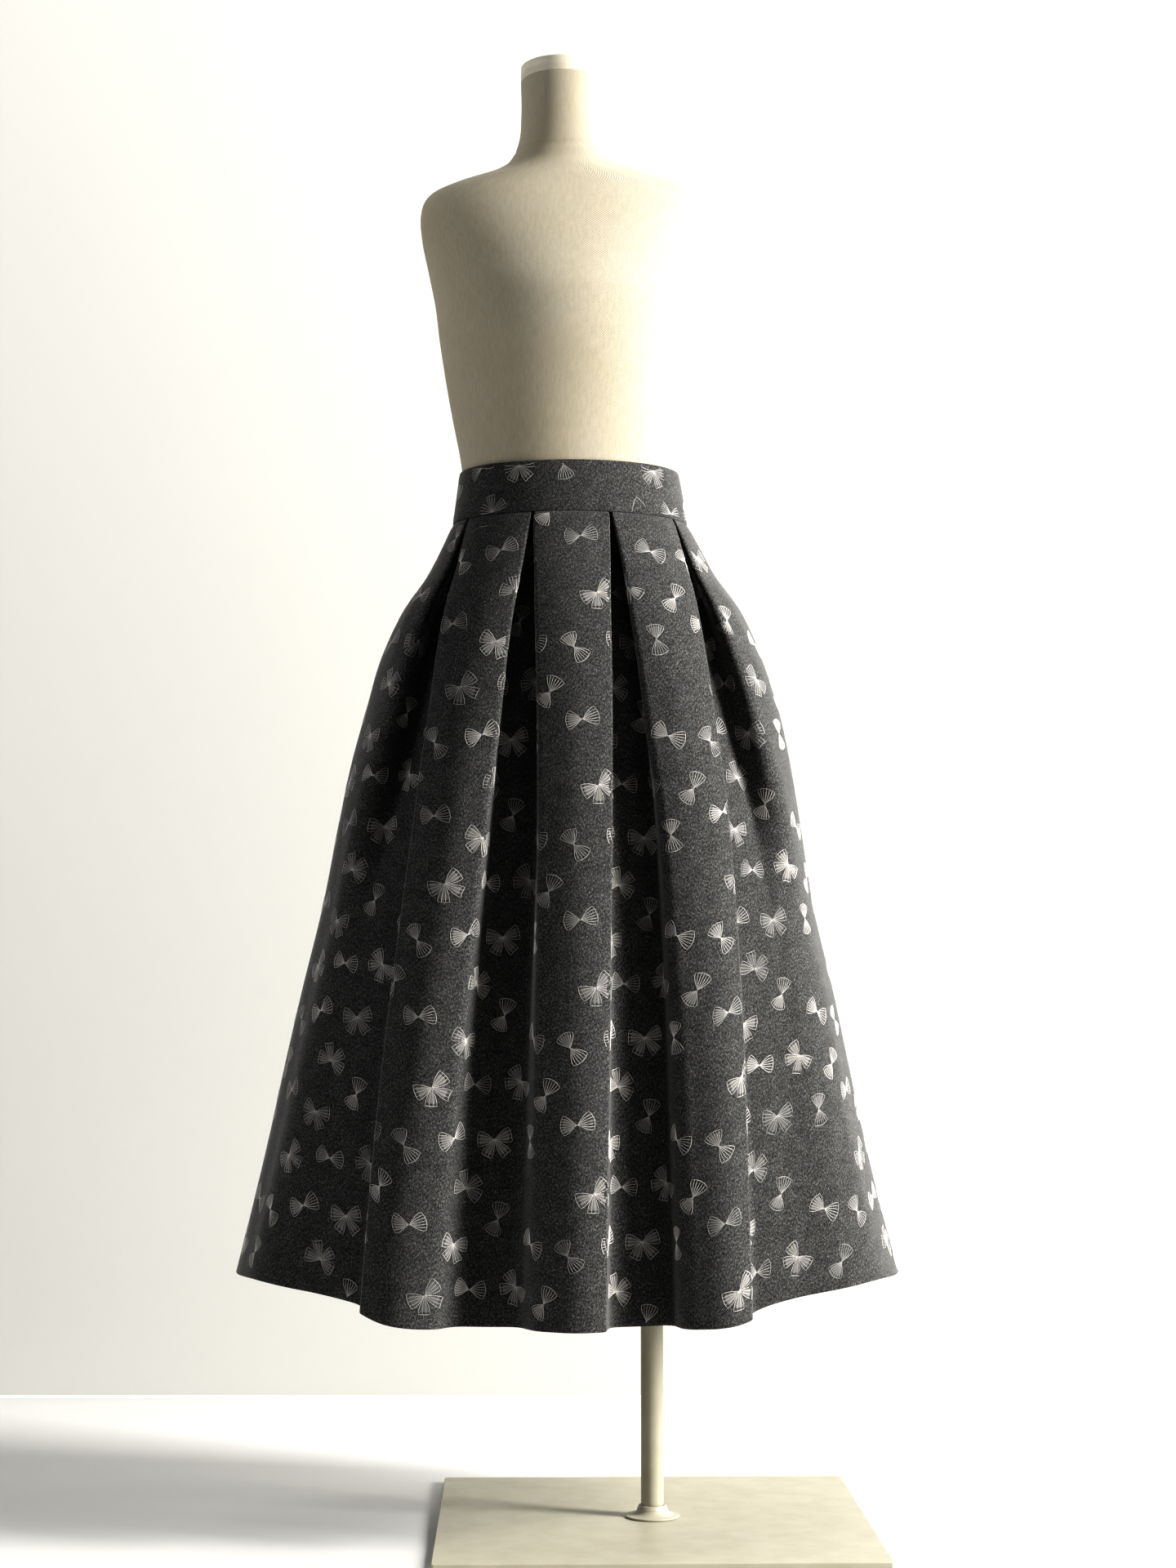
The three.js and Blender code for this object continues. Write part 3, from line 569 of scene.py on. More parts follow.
class Look(Nodes):
    """A material and the textures that its shader takes."""

    def __init__(self, name):
        self.material = bpy.data.materials.new(name)
        super().__init__(self.material)
        self.shader = self.tree.nodes["Principled BSDF"]

    def shade(self, **values):
        for name, value in values.items():
            self.feed(self.shader, name.replace("_", " "), value)

    def attribute(self, name, output="Vector"):
        node = self.add("Attribute")
        node.attribute_name = name
        return node.outputs[output]

    def object_place(self):
        return self.add("TexCoord").outputs["Object"]

    def stretched(self, vector, scale, turn=0.0):
        """A vector turned and stretched, for textures with a grain."""
        return self.add("Mapping", Vector=vector, Scale=scale, Rotation=(0, 0, turn)).outputs["Vector"]

    def noise(self, vector, scale, detail=3, roughness=0.6, distortion=0.0):
        return self.add("TexNoise", Vector=vector, Scale=scale, Detail=detail, Roughness=roughness,
                        Distortion=distortion).outputs["Fac"]

    def ribs(self, vector, turn, scale, **values):
        """Fine parallel ribs, turned against the cloth."""
        vector = self.stretched(vector, (1, 1, 1), turn)
        return self.add("TexWave", Vector=vector, Scale=scale, **values).outputs["Fac"]

    def ramp(self, source, stops):
        """A colour ramp over a texture's factor, from a list of places and colours."""
        node = self.add("ValToRGB", Fac=source)
        elements = node.color_ramp.elements
        elements[0].position, elements[0].color = stops[0]
        elements[1].position, elements[1].color = stops[-1]
        for place, colour in stops[1:-1]:
            elements.new(place).color = colour
        return node.outputs["Color"]

    def mixed(self, factor, first, second, kind="MIX"):
        """Two colours mixed. The factor is a number or a socket, and so are the colours."""
        node = self.add("Mix")
        node.data_type = "RGBA"
        node.blend_type = kind
        for index, value in ((0, factor), (6, first), (7, second)):
            self.feed(node, index, value)
        return node.outputs[2]

    def bumped(self, height, strength, distance, before=None):
        """A bump on the shader, over another one where before is given."""
        node = self.add("Bump", Height=height, Strength=strength, Distance=distance)
        if before is not None:
            self.feed(node, "Normal", before)
        self.shade(Normal=node.outputs["Normal"])
        return node.outputs["Normal"]


def flannel_material():
    """Charcoal melange: dark and pale fibres mixed, over a faint twill, with a short nap."""
    look = Look("flannel")
    place = look.attribute("cloth_place")
    fibres = look.noise(look.stretched(place, (1, 0.7, 1), 0.6), 620, 4, 0.75, 0.4)
    flecks = look.noise(look.stretched(place, (1, 0.45, 1), -0.5), 900, 2)
    base = look.ramp(fibres, [(0.36, grey(0.018)), (0.5, grey(0.052)), (0.62, grey(0.14))])
    pale = look.ramp(flecks, [(0.60, grey(0.0)), (0.74, grey(0.18, 0.02))])
    broad = look.ramp(look.noise(place, 60), [(0.35, grey(0.86)), (0.65, grey(1.12))])
    colour = look.mixed(1.0, look.mixed(1.0, base, pale, "ADD"), broad, "MULTIPLY")
    look.shade(Base_Color=colour, Roughness=0.92, Specular_IOR_Level=0.18, Sheen_Weight=0.5,
               Sheen_Roughness=0.35)
    twill = look.ribs(place, 0.9, 260, Distortion=2.5, Detail=2)
    look.bumped(fibres, 0.35, 0.0006, look.bumped(twill, 0.12, 0.0003))
    return look.material


def thread_material(name, dark, light):
    """The bows' stitches, each bow a little paler or duller than the next."""
    look = Look(name)
    wear = look.noise(look.object_place(), 700, 3, 0.7)
    strength = look.mixed(0.45, look.attribute("tone", "Color"), wear)
    look.shade(Base_Color=look.ramp(strength, [(0.25, dark), (0.75, light)]), Roughness=0.8,
               Specular_IOR_Level=0.25, Sheen_Weight=0.1, Sheen_Roughness=0.5)
    look.bumped(wear, 0.3, 0.0003)
    return look.material


def lining_material():
    look = Look("pocket_lining")
    weave = look.noise(look.attribute("cloth_place"), 1400, 2, 0.5)
    look.shade(Base_Color=look.ramp(weave, [(0.35, grey(0.018)), (0.65, grey(0.036))]), Roughness=0.75,
               Specular_IOR_Level=0.3)
    look.bumped(weave, 0.2, 0.0003)
    return look.material


def twill_material():
    """Cream cotton twill: fine diagonal ribs, slubs and a little yellowing."""
    look = Look("form_cloth")
    place = look.attribute("cloth_place")
    rib = look.ribs(place, 0.75, 170, Distortion=1.2, Detail=2, Detail_Scale=3)
    slubs = look.noise(look.stretched(place, (1, 0.2, 1)), 400)
    colour = look.ramp(rib, [(0.2, (0.41, 0.373, 0.305, 1)), (0.8, (0.50, 0.468, 0.397, 1))])
    shade = look.ramp(slubs, [(0.35, grey(0.93)), (0.65, grey(1.04))])
    yellow = look.ramp(look.noise(place, 9), [(0.35, (0.97, 0.95, 0.9, 1)), (0.7, (1, 1, 1, 1))])
    colour = look.mixed(1.0, look.mixed(1.0, colour, shade, "MULTIPLY"), yellow, "MULTIPLY")
    look.shade(Base_Color=colour, Roughness=0.9, Specular_IOR_Level=0.2, Sheen_Weight=0.08)
    look.bumped(slubs, 0.15, 0.0004, look.bumped(rib, 0.35, 0.0005))
    return look.material


def paint_material(name, colour, worn, roughness, grain):
    """Paint with faint orange peel, dust and slightly darker patches."""
    look = Look(name)
    place = look.object_place()
    dust = look.noise(look.stretched(place, grain), 26, 5, 0.65)
    rough = look.add("MapRange", Value=dust, To_Min=roughness + 0.1, To_Max=roughness - 0.06)
    look.shade(Base_Color=look.ramp(dust, [(0.3, worn), (0.62, colour)]), Roughness=rough.outputs["Result"])
    look.bumped(look.noise(place, 420, 2, 0.5), 0.08, 0.0004)
    return look.material


def metal_material():
    look = Look("zip_metal")
    brushed = look.noise(look.stretched(look.object_place(), (4, 4, 0.6)), 1500)
    look.shade(Base_Color=look.ramp(brushed, [(0.35, grey(0.10)), (0.65, grey(0.24))]), Metallic=1.0,
               Roughness=0.36)
    look.bumped(brushed, 0.12, 0.0002)
    return look.material


def tape_material():
    look = Look("zip_tape")
    weave = look.ribs(look.attribute("cloth_place"), 0.8, 500)
    look.shade(Base_Color=look.ramp(weave, [(0.2, grey(0.015)), (0.8, grey(0.04))]), Roughness=0.85)
    look.bumped(weave, 0.3, 0.0003)
    return look.material


FLANNEL = flannel_material()
THREAD = thread_material("bow_thread", grey(0.36, 0.02), grey(0.60, 0.04))
THREAD_FILL = thread_material("bow_fill", grey(0.09, 0.01), grey(0.20, 0.03))
LINING = lining_material()
TWILL = twill_material()
CAP_PAINT = paint_material("cap_paint", (0.68, 0.645, 0.56, 1), (0.60, 0.555, 0.46, 1), 0.5, (1, 1, 6))
STAND_PAINT = paint_material("stand_paint", (0.44, 0.42, 0.345, 1), (0.40, 0.38, 0.305, 1), 0.42, (1, 1, 1))
ZIP_METAL = metal_material()
ZIP_TAPE = tape_material()


# The skirt's pieces

rings = [ring_at(down) for down in row_downs()]
front_cloth = Cloth("front", rings)
back_cloth = Cloth("back", rings)


def panel_piece(node, cloth, keep=slice(None)):
    places = cloth.places[:, keep]
    falls = np.repeat(cloth.fall[:, None], places.shape[1], 1)
    grids = cloth.outer[:, keep], cloth.inner[:, keep], np.stack([places, falls], 2)
    return shell_piece(f"{node}_cloth", node, grids, FLANNEL)


middle_column = int(np.argmin(abs(back_cloth.places[0])))
front_piece = panel_piece("skirt_front", front_cloth)
right_back_piece = panel_piece("skirt_back_right", back_cloth, slice(None, middle_column + 1))
left_back_piece = panel_piece("skirt_back_left", back_cloth, slice(middle_column, None))


class Band:
    """The waistband's surface, from its place round the waist and how far down from its top edge."""

    def __init__(self, seam):
        self.seam = seam
        self.whole = seam["length"][-1]
        self.zip = seam["back"]["start"] + seam["back"]["middle"]
        self.height = math.hypot(BAND_TOP - SEAM_HEIGHT, seam["depth"] - BAND_TOP_HALF_DEPTH)

    def points(self, places, rises, move):
        at, _, outward = on_outline(self.seam["points"], self.seam["length"], places)
        angle = np.arctan2((at[:, 0] - WAIST_CENTRE) / SEAM_HALF_WIDTH, -at[:, 1] / self.seam["depth"])
        top = np.stack([WAIST_CENTRE + BAND_TOP_HALF_WIDTH * np.sin(angle),
                        -BAND_TOP_HALF_DEPTH * np.cos(angle)], 1)
        rises = np.broadcast_to(rises, len(places))
        flat = at + (top - at) * rises[:, None] + outward * np.reshape(move, (-1, 1))
        return np.column_stack([flat, SEAM_HEIGHT + (BAND_TOP - SEAM_HEIGHT) * rises])

    def lift(self, places, rises):
        """How far the band stands out: full between its edges, a little uneven round the waist."""
        full = 0.5 * np.sin(np.pi * np.clip(rises, 0, 1)) ** 0.5
        uneven = 0.35 * np.sin(places / 31 + 1) * np.sin(places / 83) * np.sin(np.pi * rises)
        return full + uneven - 0.45

    def at(self, places, falls, height):
        """Points on the outside. places run from the centre front, and falls from the top edge."""
        rises = 1 - falls / self.height
        move = self.lift(places, rises) + height
        return self.points(places + RINGS.at("turn", 0), rises, move)


band = Band(rings[0])


def waistband_piece():
    """The band. Its profile is rows of a height and of how far the edge narrows there."""
    profile = [(1.0, 0.5), (0.998, 0.26), (0.992, 0.08), (0.98, 0)]
    profile += [(row / 10, 0) for row in range(9, 0, -1)]
    profile += [(0.03, 0.02), (0.01, 0.1), (0.0, 0.3)]
    columns = 321
    edge = SEAM_GAP + 0.85
    start = band.zip - band.whole
    places = np.array([start + SEAM_GAP, *np.linspace(start + edge, band.zip - edge, columns),
                       band.zip - SEAM_GAP])
    from_zip = np.minimum(places - start, band.zip - places)
    pinch = 0.3 * np.exp(-from_zip / 0.5)
    outer, inner, flat = [], [], []
    for rise, share in profile:
        lift = band.lift(places - RINGS.at("turn", 0), np.full_like(places, rise))
        squeeze = np.clip(share + pinch, 0, 0.5) * BAND
        outer.append(band.points(places, rise, lift - squeeze))
        inner.append(band.points(places, rise, squeeze - BAND - 0.2))
        flat.append(np.column_stack([places, np.full_like(places, (1 - rise) * band.height)]))
    return shell_piece("waistband_cloth", "waistband", (outer, inner, flat), FLANNEL)


band_piece = waistband_piece()


# The line-stitched bows. Each is a set of strokes, and of grids for the filled wings, in millimetres
# round its knot.

STATIONS = 5
THREAD_WIDTH = 0.78
WING_START = 0.8
WING_OPENING = 0.95
THREAD_HEIGHT = 0.34
FILL_HEIGHT = 0.14
SUNK = -0.15


def wing(turn, length, half_width, strokes, rounding):
    """The strokes of a wing that opens wide from the knot, and a grid of points over it."""
    along, aside = (math.cos(turn), math.sin(turn)), (-math.sin(turn), math.cos(turn))

    def place(side, share):
        forward = WING_START + (length - WING_START) * share * (1 - rounding * side * side * share)
        across = half_width * side * np.sin(share * math.pi / 2) ** WING_OPENING + 0.4 * side
        return np.multiply.outer(forward, along) + np.multiply.outer(across, aside)

    stroke = np.linspace(0, 1, STATIONS)
    lines = [place(side, stroke) for side in np.linspace(-1, 1, strokes)]
    lines.append(place(np.linspace(-1, 1, STATIONS), 1.0))
    sides, shares = np.meshgrid(np.linspace(-0.97, 0.97, 6), np.linspace(0.06, 0.97, 5), indexing="ij")
    return lines, place(sides, shares)


def bow(wings, knot_half):
    """The strokes and the filled grids of a bow."""
    lines, fills = [], []
    for *shape, filled in wings:
        strokes, fill = wing(*shape)
        lines += strokes
        if filled:
            fills.append(fill)
    along = np.linspace(-knot_half, knot_half, STATIONS)
    lines += [np.stack([along * 0.3 + step, along], 1) for step in (-0.45, 0.45)]
    return lines, fills


# The plain bow has a wing of clear stripes and a filled one, and the tailed bow has two short wings above
# and two squared tails below. A wing is its turn, length, half width, strokes, rounding, and filled or not.
KINDS = {
    "plain": bow([(0.1, 19, 9.6, 7, 0.16, False), (math.pi - 0.14, 18, 9.8, 8, 0.2, True)], 0.9),
    "tailed": bow([(0.2, 19.6, 7.4, 5, 0.06, True), (math.pi - 0.16, 18.8, 7.7, 5, 0.08, True),
                   (-0.94, 20.4, 5.6, 4, -0.03, True), (-math.pi + 1.0, 19.4, 5.8, 4, 0.02, True)], 1.3),
}


# One repeat of the bows: the kind, the place of the knot, the turn in degrees and the size
REPEAT = 216
LAYOUT = [
    ("plain", 22, 24, 12, 1.0),
    ("tailed", 76, 44, -14, 0.96),
    ("plain", 128, 18, 71, 0.97),
    ("plain", 181, 42, -28, 1.02),
    ("tailed", 40, 96, 33, 1.0),
    ("plain", 98, 92, -6, 0.95),
    ("tailed", 150, 88, -47, 0.94),
    ("plain", 203, 102, 58, 0.98),
    ("plain", 14, 160, -53, 0.97),
    ("plain", 68, 148, 24, 1.03),
    ("tailed", 122, 150, 7, 1.0),
    ("plain", 176, 150, -82, 0.96),
    ("tailed", 92, 202, 158, 0.95),
]
HALF_DROP = 108
BOW_REACH = 20


def bow_places(half_width, length, shift):
    """Every bow whose knot lies on or near a cloth of that size: its kind, place, turn and size."""
    found = []
    for column in range(int(-half_width // REPEAT) - 1, int(half_width // REPEAT) + 2):
        for row in range(-2, int(length // REPEAT) + 2):
            for kind, x, y, turn, size in LAYOUT:
                u = column * REPEAT + x + shift[0]
                v = row * REPEAT + y + shift[1] + HALF_DROP * (column % 2)
                if abs(u) < half_width + BOW_REACH and -BOW_REACH < v < length + BOW_REACH:
                    found.append((kind, u, v, math.radians(turn), size))
    return found


def laid_piece(name, surface, grids, heights, tones, material):
    """One mesh of small grids laid on a surface, each with its own tone."""
    count, rows, columns = grids.shape[:3]
    flat = grids.reshape(-1, 2)
    points = surface.at(flat[:, 0], flat[:, 1], np.tile(heights.ravel(), count))
    faces = np.concatenate([grid_faces(rows, columns, index * rows * columns) for index in range(count)])
    return mesh_piece(name, points, faces, material, tone=np.repeat(tones, rows * columns))


def bows_on(name, surface, inside, places, rng):
    """Two meshes of bows on a surface: the stitches, and the fills of the closed wings."""
    strokes, stroke_tones, patches, patch_tones = [], [], [], []
    for kind, u, v, turn, size in places:
        lines, fills = KINDS[kind]
        spin = np.array([[math.cos(turn), math.sin(turn)], [-math.sin(turn), math.cos(turn)]]) * size
        tone = rng.uniform(0.15, 0.95)
        for line in lines:
            moved = line @ spin * (1, -1) + (u, v)
            if inside(moved).all():
                strokes.append(moved)
                stroke_tones.append(np.clip(tone + rng.normal(0, 0.12), 0, 1))
        for fill in fills:
            moved = fill @ spin * (1, -1) + (u, v)
            if inside(moved.reshape(-1, 2)).all():
                patches.append(moved)
                patch_tones.append(tone)
    strokes = np.array(strokes)
    aim = np.gradient(strokes, axis=1)
    aim /= np.maximum(np.linalg.norm(aim, axis=2), 1e-9)[:, :, None]
    aside = np.stack([-aim[:, :, 1], aim[:, :, 0]], 2)
    aside *= np.array([0.7, 1, 1, 1, 0.6])[None, :, None] * THREAD_WIDTH / 2
    threads = np.stack([strokes - aside, strokes, strokes + aside], 2)
    across = np.tile([SUNK, THREAD_HEIGHT, SUNK], STATIONS)
    stitches = laid_piece(f"bow_stitches_{name}", surface, threads, across, stroke_tones, THREAD)

    patches = np.array(patches)
    rise = np.full(patches.shape[1:3], FILL_HEIGHT)
    rise[[0, -1], :] = SUNK
    rise[:, [0, -1]] = SUNK
    fills = laid_piece(f"bow_fills_{name}", surface, patches, rise, patch_tones, THREAD_FILL)
    return [stitches, fills]


def skirt_bows(name, cloth, shift, side, seed):
    """The bows of the whole front, or of the left or right back, cut off at its seams."""
    length = cloth.length()

    def inside(flat):
        u, v = flat[:, 0], flat[:, 1]
        held = (v > 1) & (v < length - 1.2)
        held &= abs(u) < cloth.half_width(np.clip(v, 0, length)) - 1.5
        return held & (u * side > 1.2) if side else held

    places = bow_places(cloth.half_width(length), length, shift)
    return bows_on(name, cloth, inside, places, np.random.default_rng(seed))


def band_bows():
    def inside(flat):
        u, v = flat[:, 0], flat[:, 1]
        return (v > 1.5) & (v < band.height - 1.5) & (abs(u) < band.whole / 2 - 2)

    places = bow_places(band.whole / 2, band.height, (30, -36))
    return bows_on("waistband", band, inside, places, np.random.default_rng(9))


front_bows = skirt_bows("front", front_cloth, (-12, 8), 0, 3)
right_back_bows = skirt_bows("back_right", back_cloth, (40, 60), -1, 4)
left_back_bows = skirt_bows("back_left", back_cloth, (95, -30), 1, 5)
waistband_bows = band_bows()


# Pocket bags

POCKET_ROWS = 40
POCKET_COLUMNS = 14
POCKET_INSET = 0.002
POCKET_REACH = 0.4
POCKET_WIDEST = 0.52
POCKET_DEPTH = 0.9
NOMINAL_FALL = 900


def pocket_piece(side, before, after):
    """A rounded bag of two flat layers, behind a side seam, made from the panels' own rings."""
    outer, inner, flat = [], [], []
    for share in np.linspace(0, 1, POCKET_ROWS):
        down = POCKET_TOP + POCKET_INSET + (POCKET_BOTTOM - POCKET_TOP - 2 * POCKET_INSET) * share
        ring = ring_at(down)
        fullness = np.sqrt(np.clip(1 - ((share - POCKET_WIDEST) / POCKET_WIDEST) ** 4, 0.02, 1))
        reach = POCKET_REACH * fullness * RINGS.at("side", down)
        fill = POCKET_THICKNESS * (0.42 + 0.3 * math.sin(math.pi * share) ** 0.5)
        edge = half_cloth_at(down) - 0.2
        layers = []
        for half, places in ((before, np.linspace(edge - reach, edge, POCKET_COLUMNS)),
                             (after, np.linspace(-edge, reach - edge, POCKET_COLUMNS))):
            section = {key: np.interp(places, ring[half]["places"], ring[half][key])
                       for key in ("along", "out", "turn")}
            changed = {**ring, half: {**section, "start": ring[half]["start"]}}
            rounding = 1 - np.exp(-np.maximum(reach - half_cloth_at(down) + abs(places), 0) / 2.2)
            outside = -CLOTH / 2 - POCKET_DEPTH
            layers.append([cloth_points(changed, half, outside - 0.4 * (1 - rounding)),
                           cloth_points(changed, half, outside - 0.5 - fill * rounding)])
        outer.append(np.concatenate([layer[0] for layer in layers]))
        inner.append(np.concatenate([layer[1] for layer in layers]))
        across = np.linspace(-reach, reach, len(outer[-1]))
        flat.append(np.column_stack([across, np.full_like(across, NOMINAL_FALL * down)]))
    return shell_piece(f"pocket_bag_{side}", f"pocket_{side}", (outer, inner, flat), LINING)


right_pocket = pocket_piece("right", "front", "back")
left_pocket = pocket_piece("left", "back", "front")


# The zip

def seam_points(ring, across, move):
    """Points at places across the centre-back seam, moved out from a ring's outline."""
    places = ring["back"]["start"] + ring["back"]["middle"] + across
    at, _, outward = on_outline(ring["points"], ring["length"], places)
    return np.column_stack([at + outward * np.reshape(move, (-1, 1)), height_at(ring["down"], at[:, 0])])


def tape_piece():
    """The zip's woven tape inside the centre-back seam, with the coil's fold down its middle."""
    across = np.concatenate([np.linspace(-TAPE_HALF_WIDTH, -1.6, 8), [-0.8, 0, 0.8],
                             np.linspace(1.6, TAPE_HALF_WIDTH, 8)])
    ridge = swell(across, 1.4)
    middle = -BAND - 2 * SEAM_GAP - 0.5
    outer, inner, flat = [], [], []
    sides = [(outer, middle + 0.25 + 0.25 * ridge), (inner, middle - 0.25 - 0.25 * ridge)]
    for rise in np.linspace(0.95, 0.02, 16):
        for grid, move in sides:
            grid.append(band.points(band.zip + across, rise, move))
        flat.append(np.column_stack([across, np.full_like(across, (1 - rise) * band.height)]))
    for down in np.linspace(0.01, TAPE_END, 36):
        ring = ring_at(down)
        for grid, move in sides:
            grid.append(seam_points(ring, across, move))
        flat.append(np.column_stack([across, np.full_like(across, band.height + NOMINAL_FALL * down)]))
    return shell_piece("zip_tape_cloth", "zip_tape", (outer, inner, flat), ZIP_TAPE)


def coil_piece():
    """The zip's coil: small teeth across the tape's middle, on its inner side."""
    pitch, half_width, half_deep, half_high = 1.25, 1.5, 0.35, 0.38
    shift, seam_length = 0.35, 880
    corners = np.array([(x, y, z) for x in (-1, 1) for y in (-1, 1) for z in (-1, 1)], float)
    corners *= (half_width, half_deep, half_high)
    box = [(0, 1, 3, 2), (4, 6, 7, 5), (0, 4, 5, 1), (2, 3, 7, 6), (0, 2, 6, 4), (1, 5, 7, 3)]
    outside = -BAND - 2 * SEAM_GAP - 1.3
    centres = [band.points(np.array([band.zip]), rise, outside)[0]
               for rise in np.arange(0.93, 0.03, -pitch / band.height)]
    centres += [seam_points(ring_at(down), np.zeros(1), outside)[0]
                for down in np.arange(0.012, TAPE_END - 0.004, pitch / seam_length)]
    points, faces = [], []
    for count, centre in enumerate(centres):
        faces += [[len(points) + index for index in face] for face in box]
        points.extend(corners + centre + (shift if count % 2 else -shift, 0, 0))
    piece = mesh_piece("zip_coil", points, faces, ZIP_METAL)
    for polygon in piece.data.polygons:
        polygon.use_smooth = False
    return piece


tape = tape_piece()
coil = coil_piece()


def smoothed(piece, width, angle=30):
    """Rounds the edges of a hard piece."""
    bevel = piece.modifiers.new("edges", "BEVEL")
    bevel.width = width * MM
    bevel.segments = 3
    bevel.limit_method = "ANGLE"
    bevel.angle_limit = math.radians(angle)


def join_parts(name, parts, material, body):
    """One mesh from several parts, each a list of points and faces."""
    points, faces = [], []
    for some_points, some_faces in parts:
        start = len(points)
        points.extend(np.asarray(some_points).tolist())
        faces.extend([start + index for index in face] for face in some_faces)
    return mesh_piece(name, points, faces, material, body)


def plate_part(outline_points, low, high, axis=1):
    """A flat part cut from an outline and thickened along an axis."""
    count = len(outline_points)
    outline_points = np.array(outline_points, float)
    points = np.concatenate([np.insert(outline_points, axis, level, axis=1) for level in (low, high)])
    return points, [range(count), range(2 * count - 1, count - 1, -1), *tube_faces(2, count)[:, ::-1]]


PIN_RADIUS = 0.5
PIN_SPAN = 3.6
CHEEK_WIDTH = 0.9
PIN_STAND_OFF = 2.3
SLIDER = {"x": 5.4, "y": 2.0, "z": 9.0}
SLIDER_CLEARANCE = 0.35
SLIDER_BELOW_BAND = 7
PULL_LENGTH = 21
PULL_WIDTH = 5
PULL_THICKNESS = 1.2
EYE_INNER = 0.85
EYE_OUTER = 1.7


def arc(radius, start, end, count, centre=(0, 0)):
    angle = np.linspace(start, end, count)
    return np.stack([centre[0] + radius * np.cos(angle), centre[1] + radius * np.sin(angle)], 1)


def slider_places():
    """The slider's place and lean, as the model has them."""
    rise = 1 - (SLIDER_BELOW_BAND + SLIDER["z"] / 2) / (BAND_TOP - SEAM_HEIGHT)
    place = band.points(np.array([band.zip]), rise, SLIDER_CLEARANCE)[0]
    lean = math.atan2(band.seam["depth"] - BAND_TOP_HALF_DEPTH, BAND_TOP - SEAM_HEIGHT)
    return place, lean


def leaned(points, place, lean):
    x, y, z = np.asarray(points, float).T
    return np.stack([x, y * math.cos(lean) - z * math.sin(lean), y * math.sin(lean) + z * math.cos(lean)],
                    1) + place


def slider_piece(place, lean):
    """The slider's rounded, waisted body with two cheeks that carry the pull's pin."""
    half_wide, half_high = SLIDER["x"] / 2, SLIDER["z"] / 2
    heights = np.linspace(-half_high + 0.9, half_high - 0.9, 7)
    waist = half_wide - 0.5 * np.cos(heights / half_high * math.pi / 2) ** 2
    right = zip(waist, heights)
    top = arc(0.9, 0, math.pi / 2, 5, (half_wide - 0.9, half_high - 0.9))[1:]
    low = arc(0.9, -math.pi / 2, 0, 5, (half_wide - 0.9, -half_high + 0.9))[:-1]
    half = [*low, *right, *top]
    body_outline = half + [(-x, z) for x, z in reversed(half)]
    parts = [plate_part(body_outline, 0, SLIDER["y"])]
    pin_depth = SLIDER["y"] + PIN_STAND_OFF
    for side in (-1, 1):
        near, far = sorted((side * PIN_SPAN / 2, side * (PIN_SPAN / 2 + CHEEK_WIDTH)))
        ear = [(SLIDER["y"] - 0.2, -1.1), (pin_depth, -1.1),
               *arc(1.1, -math.pi / 2 * 0.8, math.pi / 2 * 0.8, 7, (pin_depth - 0.05, 0)),
               (pin_depth, 1.1), (SLIDER["y"] - 0.2, 1.6)]
        parts.append(plate_part(ear, near, far, axis=0))
    pin = arc(PIN_RADIUS, 0, 2 * math.pi, 17)[:-1] + (pin_depth, 0)
    reach = PIN_SPAN / 2 + CHEEK_WIDTH + 0.15
    parts.append(plate_part(pin, -reach, reach, axis=0))
    parts = [(leaned(points, place, lean), faces) for points, faces in parts]
    piece = join_parts("zip_slider_metal", parts, ZIP_METAL, "root")
    smoothed(piece, 0.22)
    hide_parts("zip_slider")
    return piece


def pull_piece(place, lean):
    """The pull tab: an eye round the pin and a tongue with a drop-shaped end."""
    pin = leaned([(0, SLIDER["y"] + PIN_STAND_OFF, 0)], place, lean)[0]
    eye_half = PIN_SPAN / 2 - SEAM_GAP
    segments = 28
    profile_outer = arc(EYE_OUTER, 0, 2 * math.pi, segments + 1)[:-1]
    profile_inner = arc(EYE_INNER, 0, 2 * math.pi, segments + 1)[:-1]
    rings_of_eye = [(profile_inner, -eye_half), (profile_outer * 0.94, -eye_half),
                    (profile_outer, -eye_half + 0.2), (profile_outer, eye_half - 0.2),
                    (profile_outer * 0.94, eye_half), (profile_inner, eye_half)]
    eye = np.concatenate([np.insert(ring, 0, level, axis=1) for ring, level in rings_of_eye])
    faces = tube_faces(len(rings_of_eye), segments, closed=True)[:, ::-1]
    half_low = PULL_WIDTH / 2
    top = -(EYE_INNER + EYE_OUTER) / 2
    low = -PULL_LENGTH + half_low
    left_side = [(-eye_half, top), (-eye_half * 0.8, top - 4), (-eye_half * 0.86, top - 9),
                 (-half_low * 0.92, low + 3)]
    end = arc(half_low, math.pi, 2 * math.pi, 13, (0, low))
    right_side = [(-x, z) for x, z in reversed(left_side)]
    tongue = plate_part(left_side + list(end) + right_side, -PULL_THICKNESS / 2, PULL_THICKNESS / 2)
    piece = join_parts("zip_pull_metal", [(eye + pin, faces), (tongue[0] + pin, tongue[1])],
                       ZIP_METAL, "pull_tab")
    smoothed(piece, 0.25, angle=50)
    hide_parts("zip_pull")
    return piece


slider_place, slider_lean = slider_places()
slider = slider_piece(slider_place, slider_lean)
pull = pull_piece(slider_place, slider_lean)


# The dress form

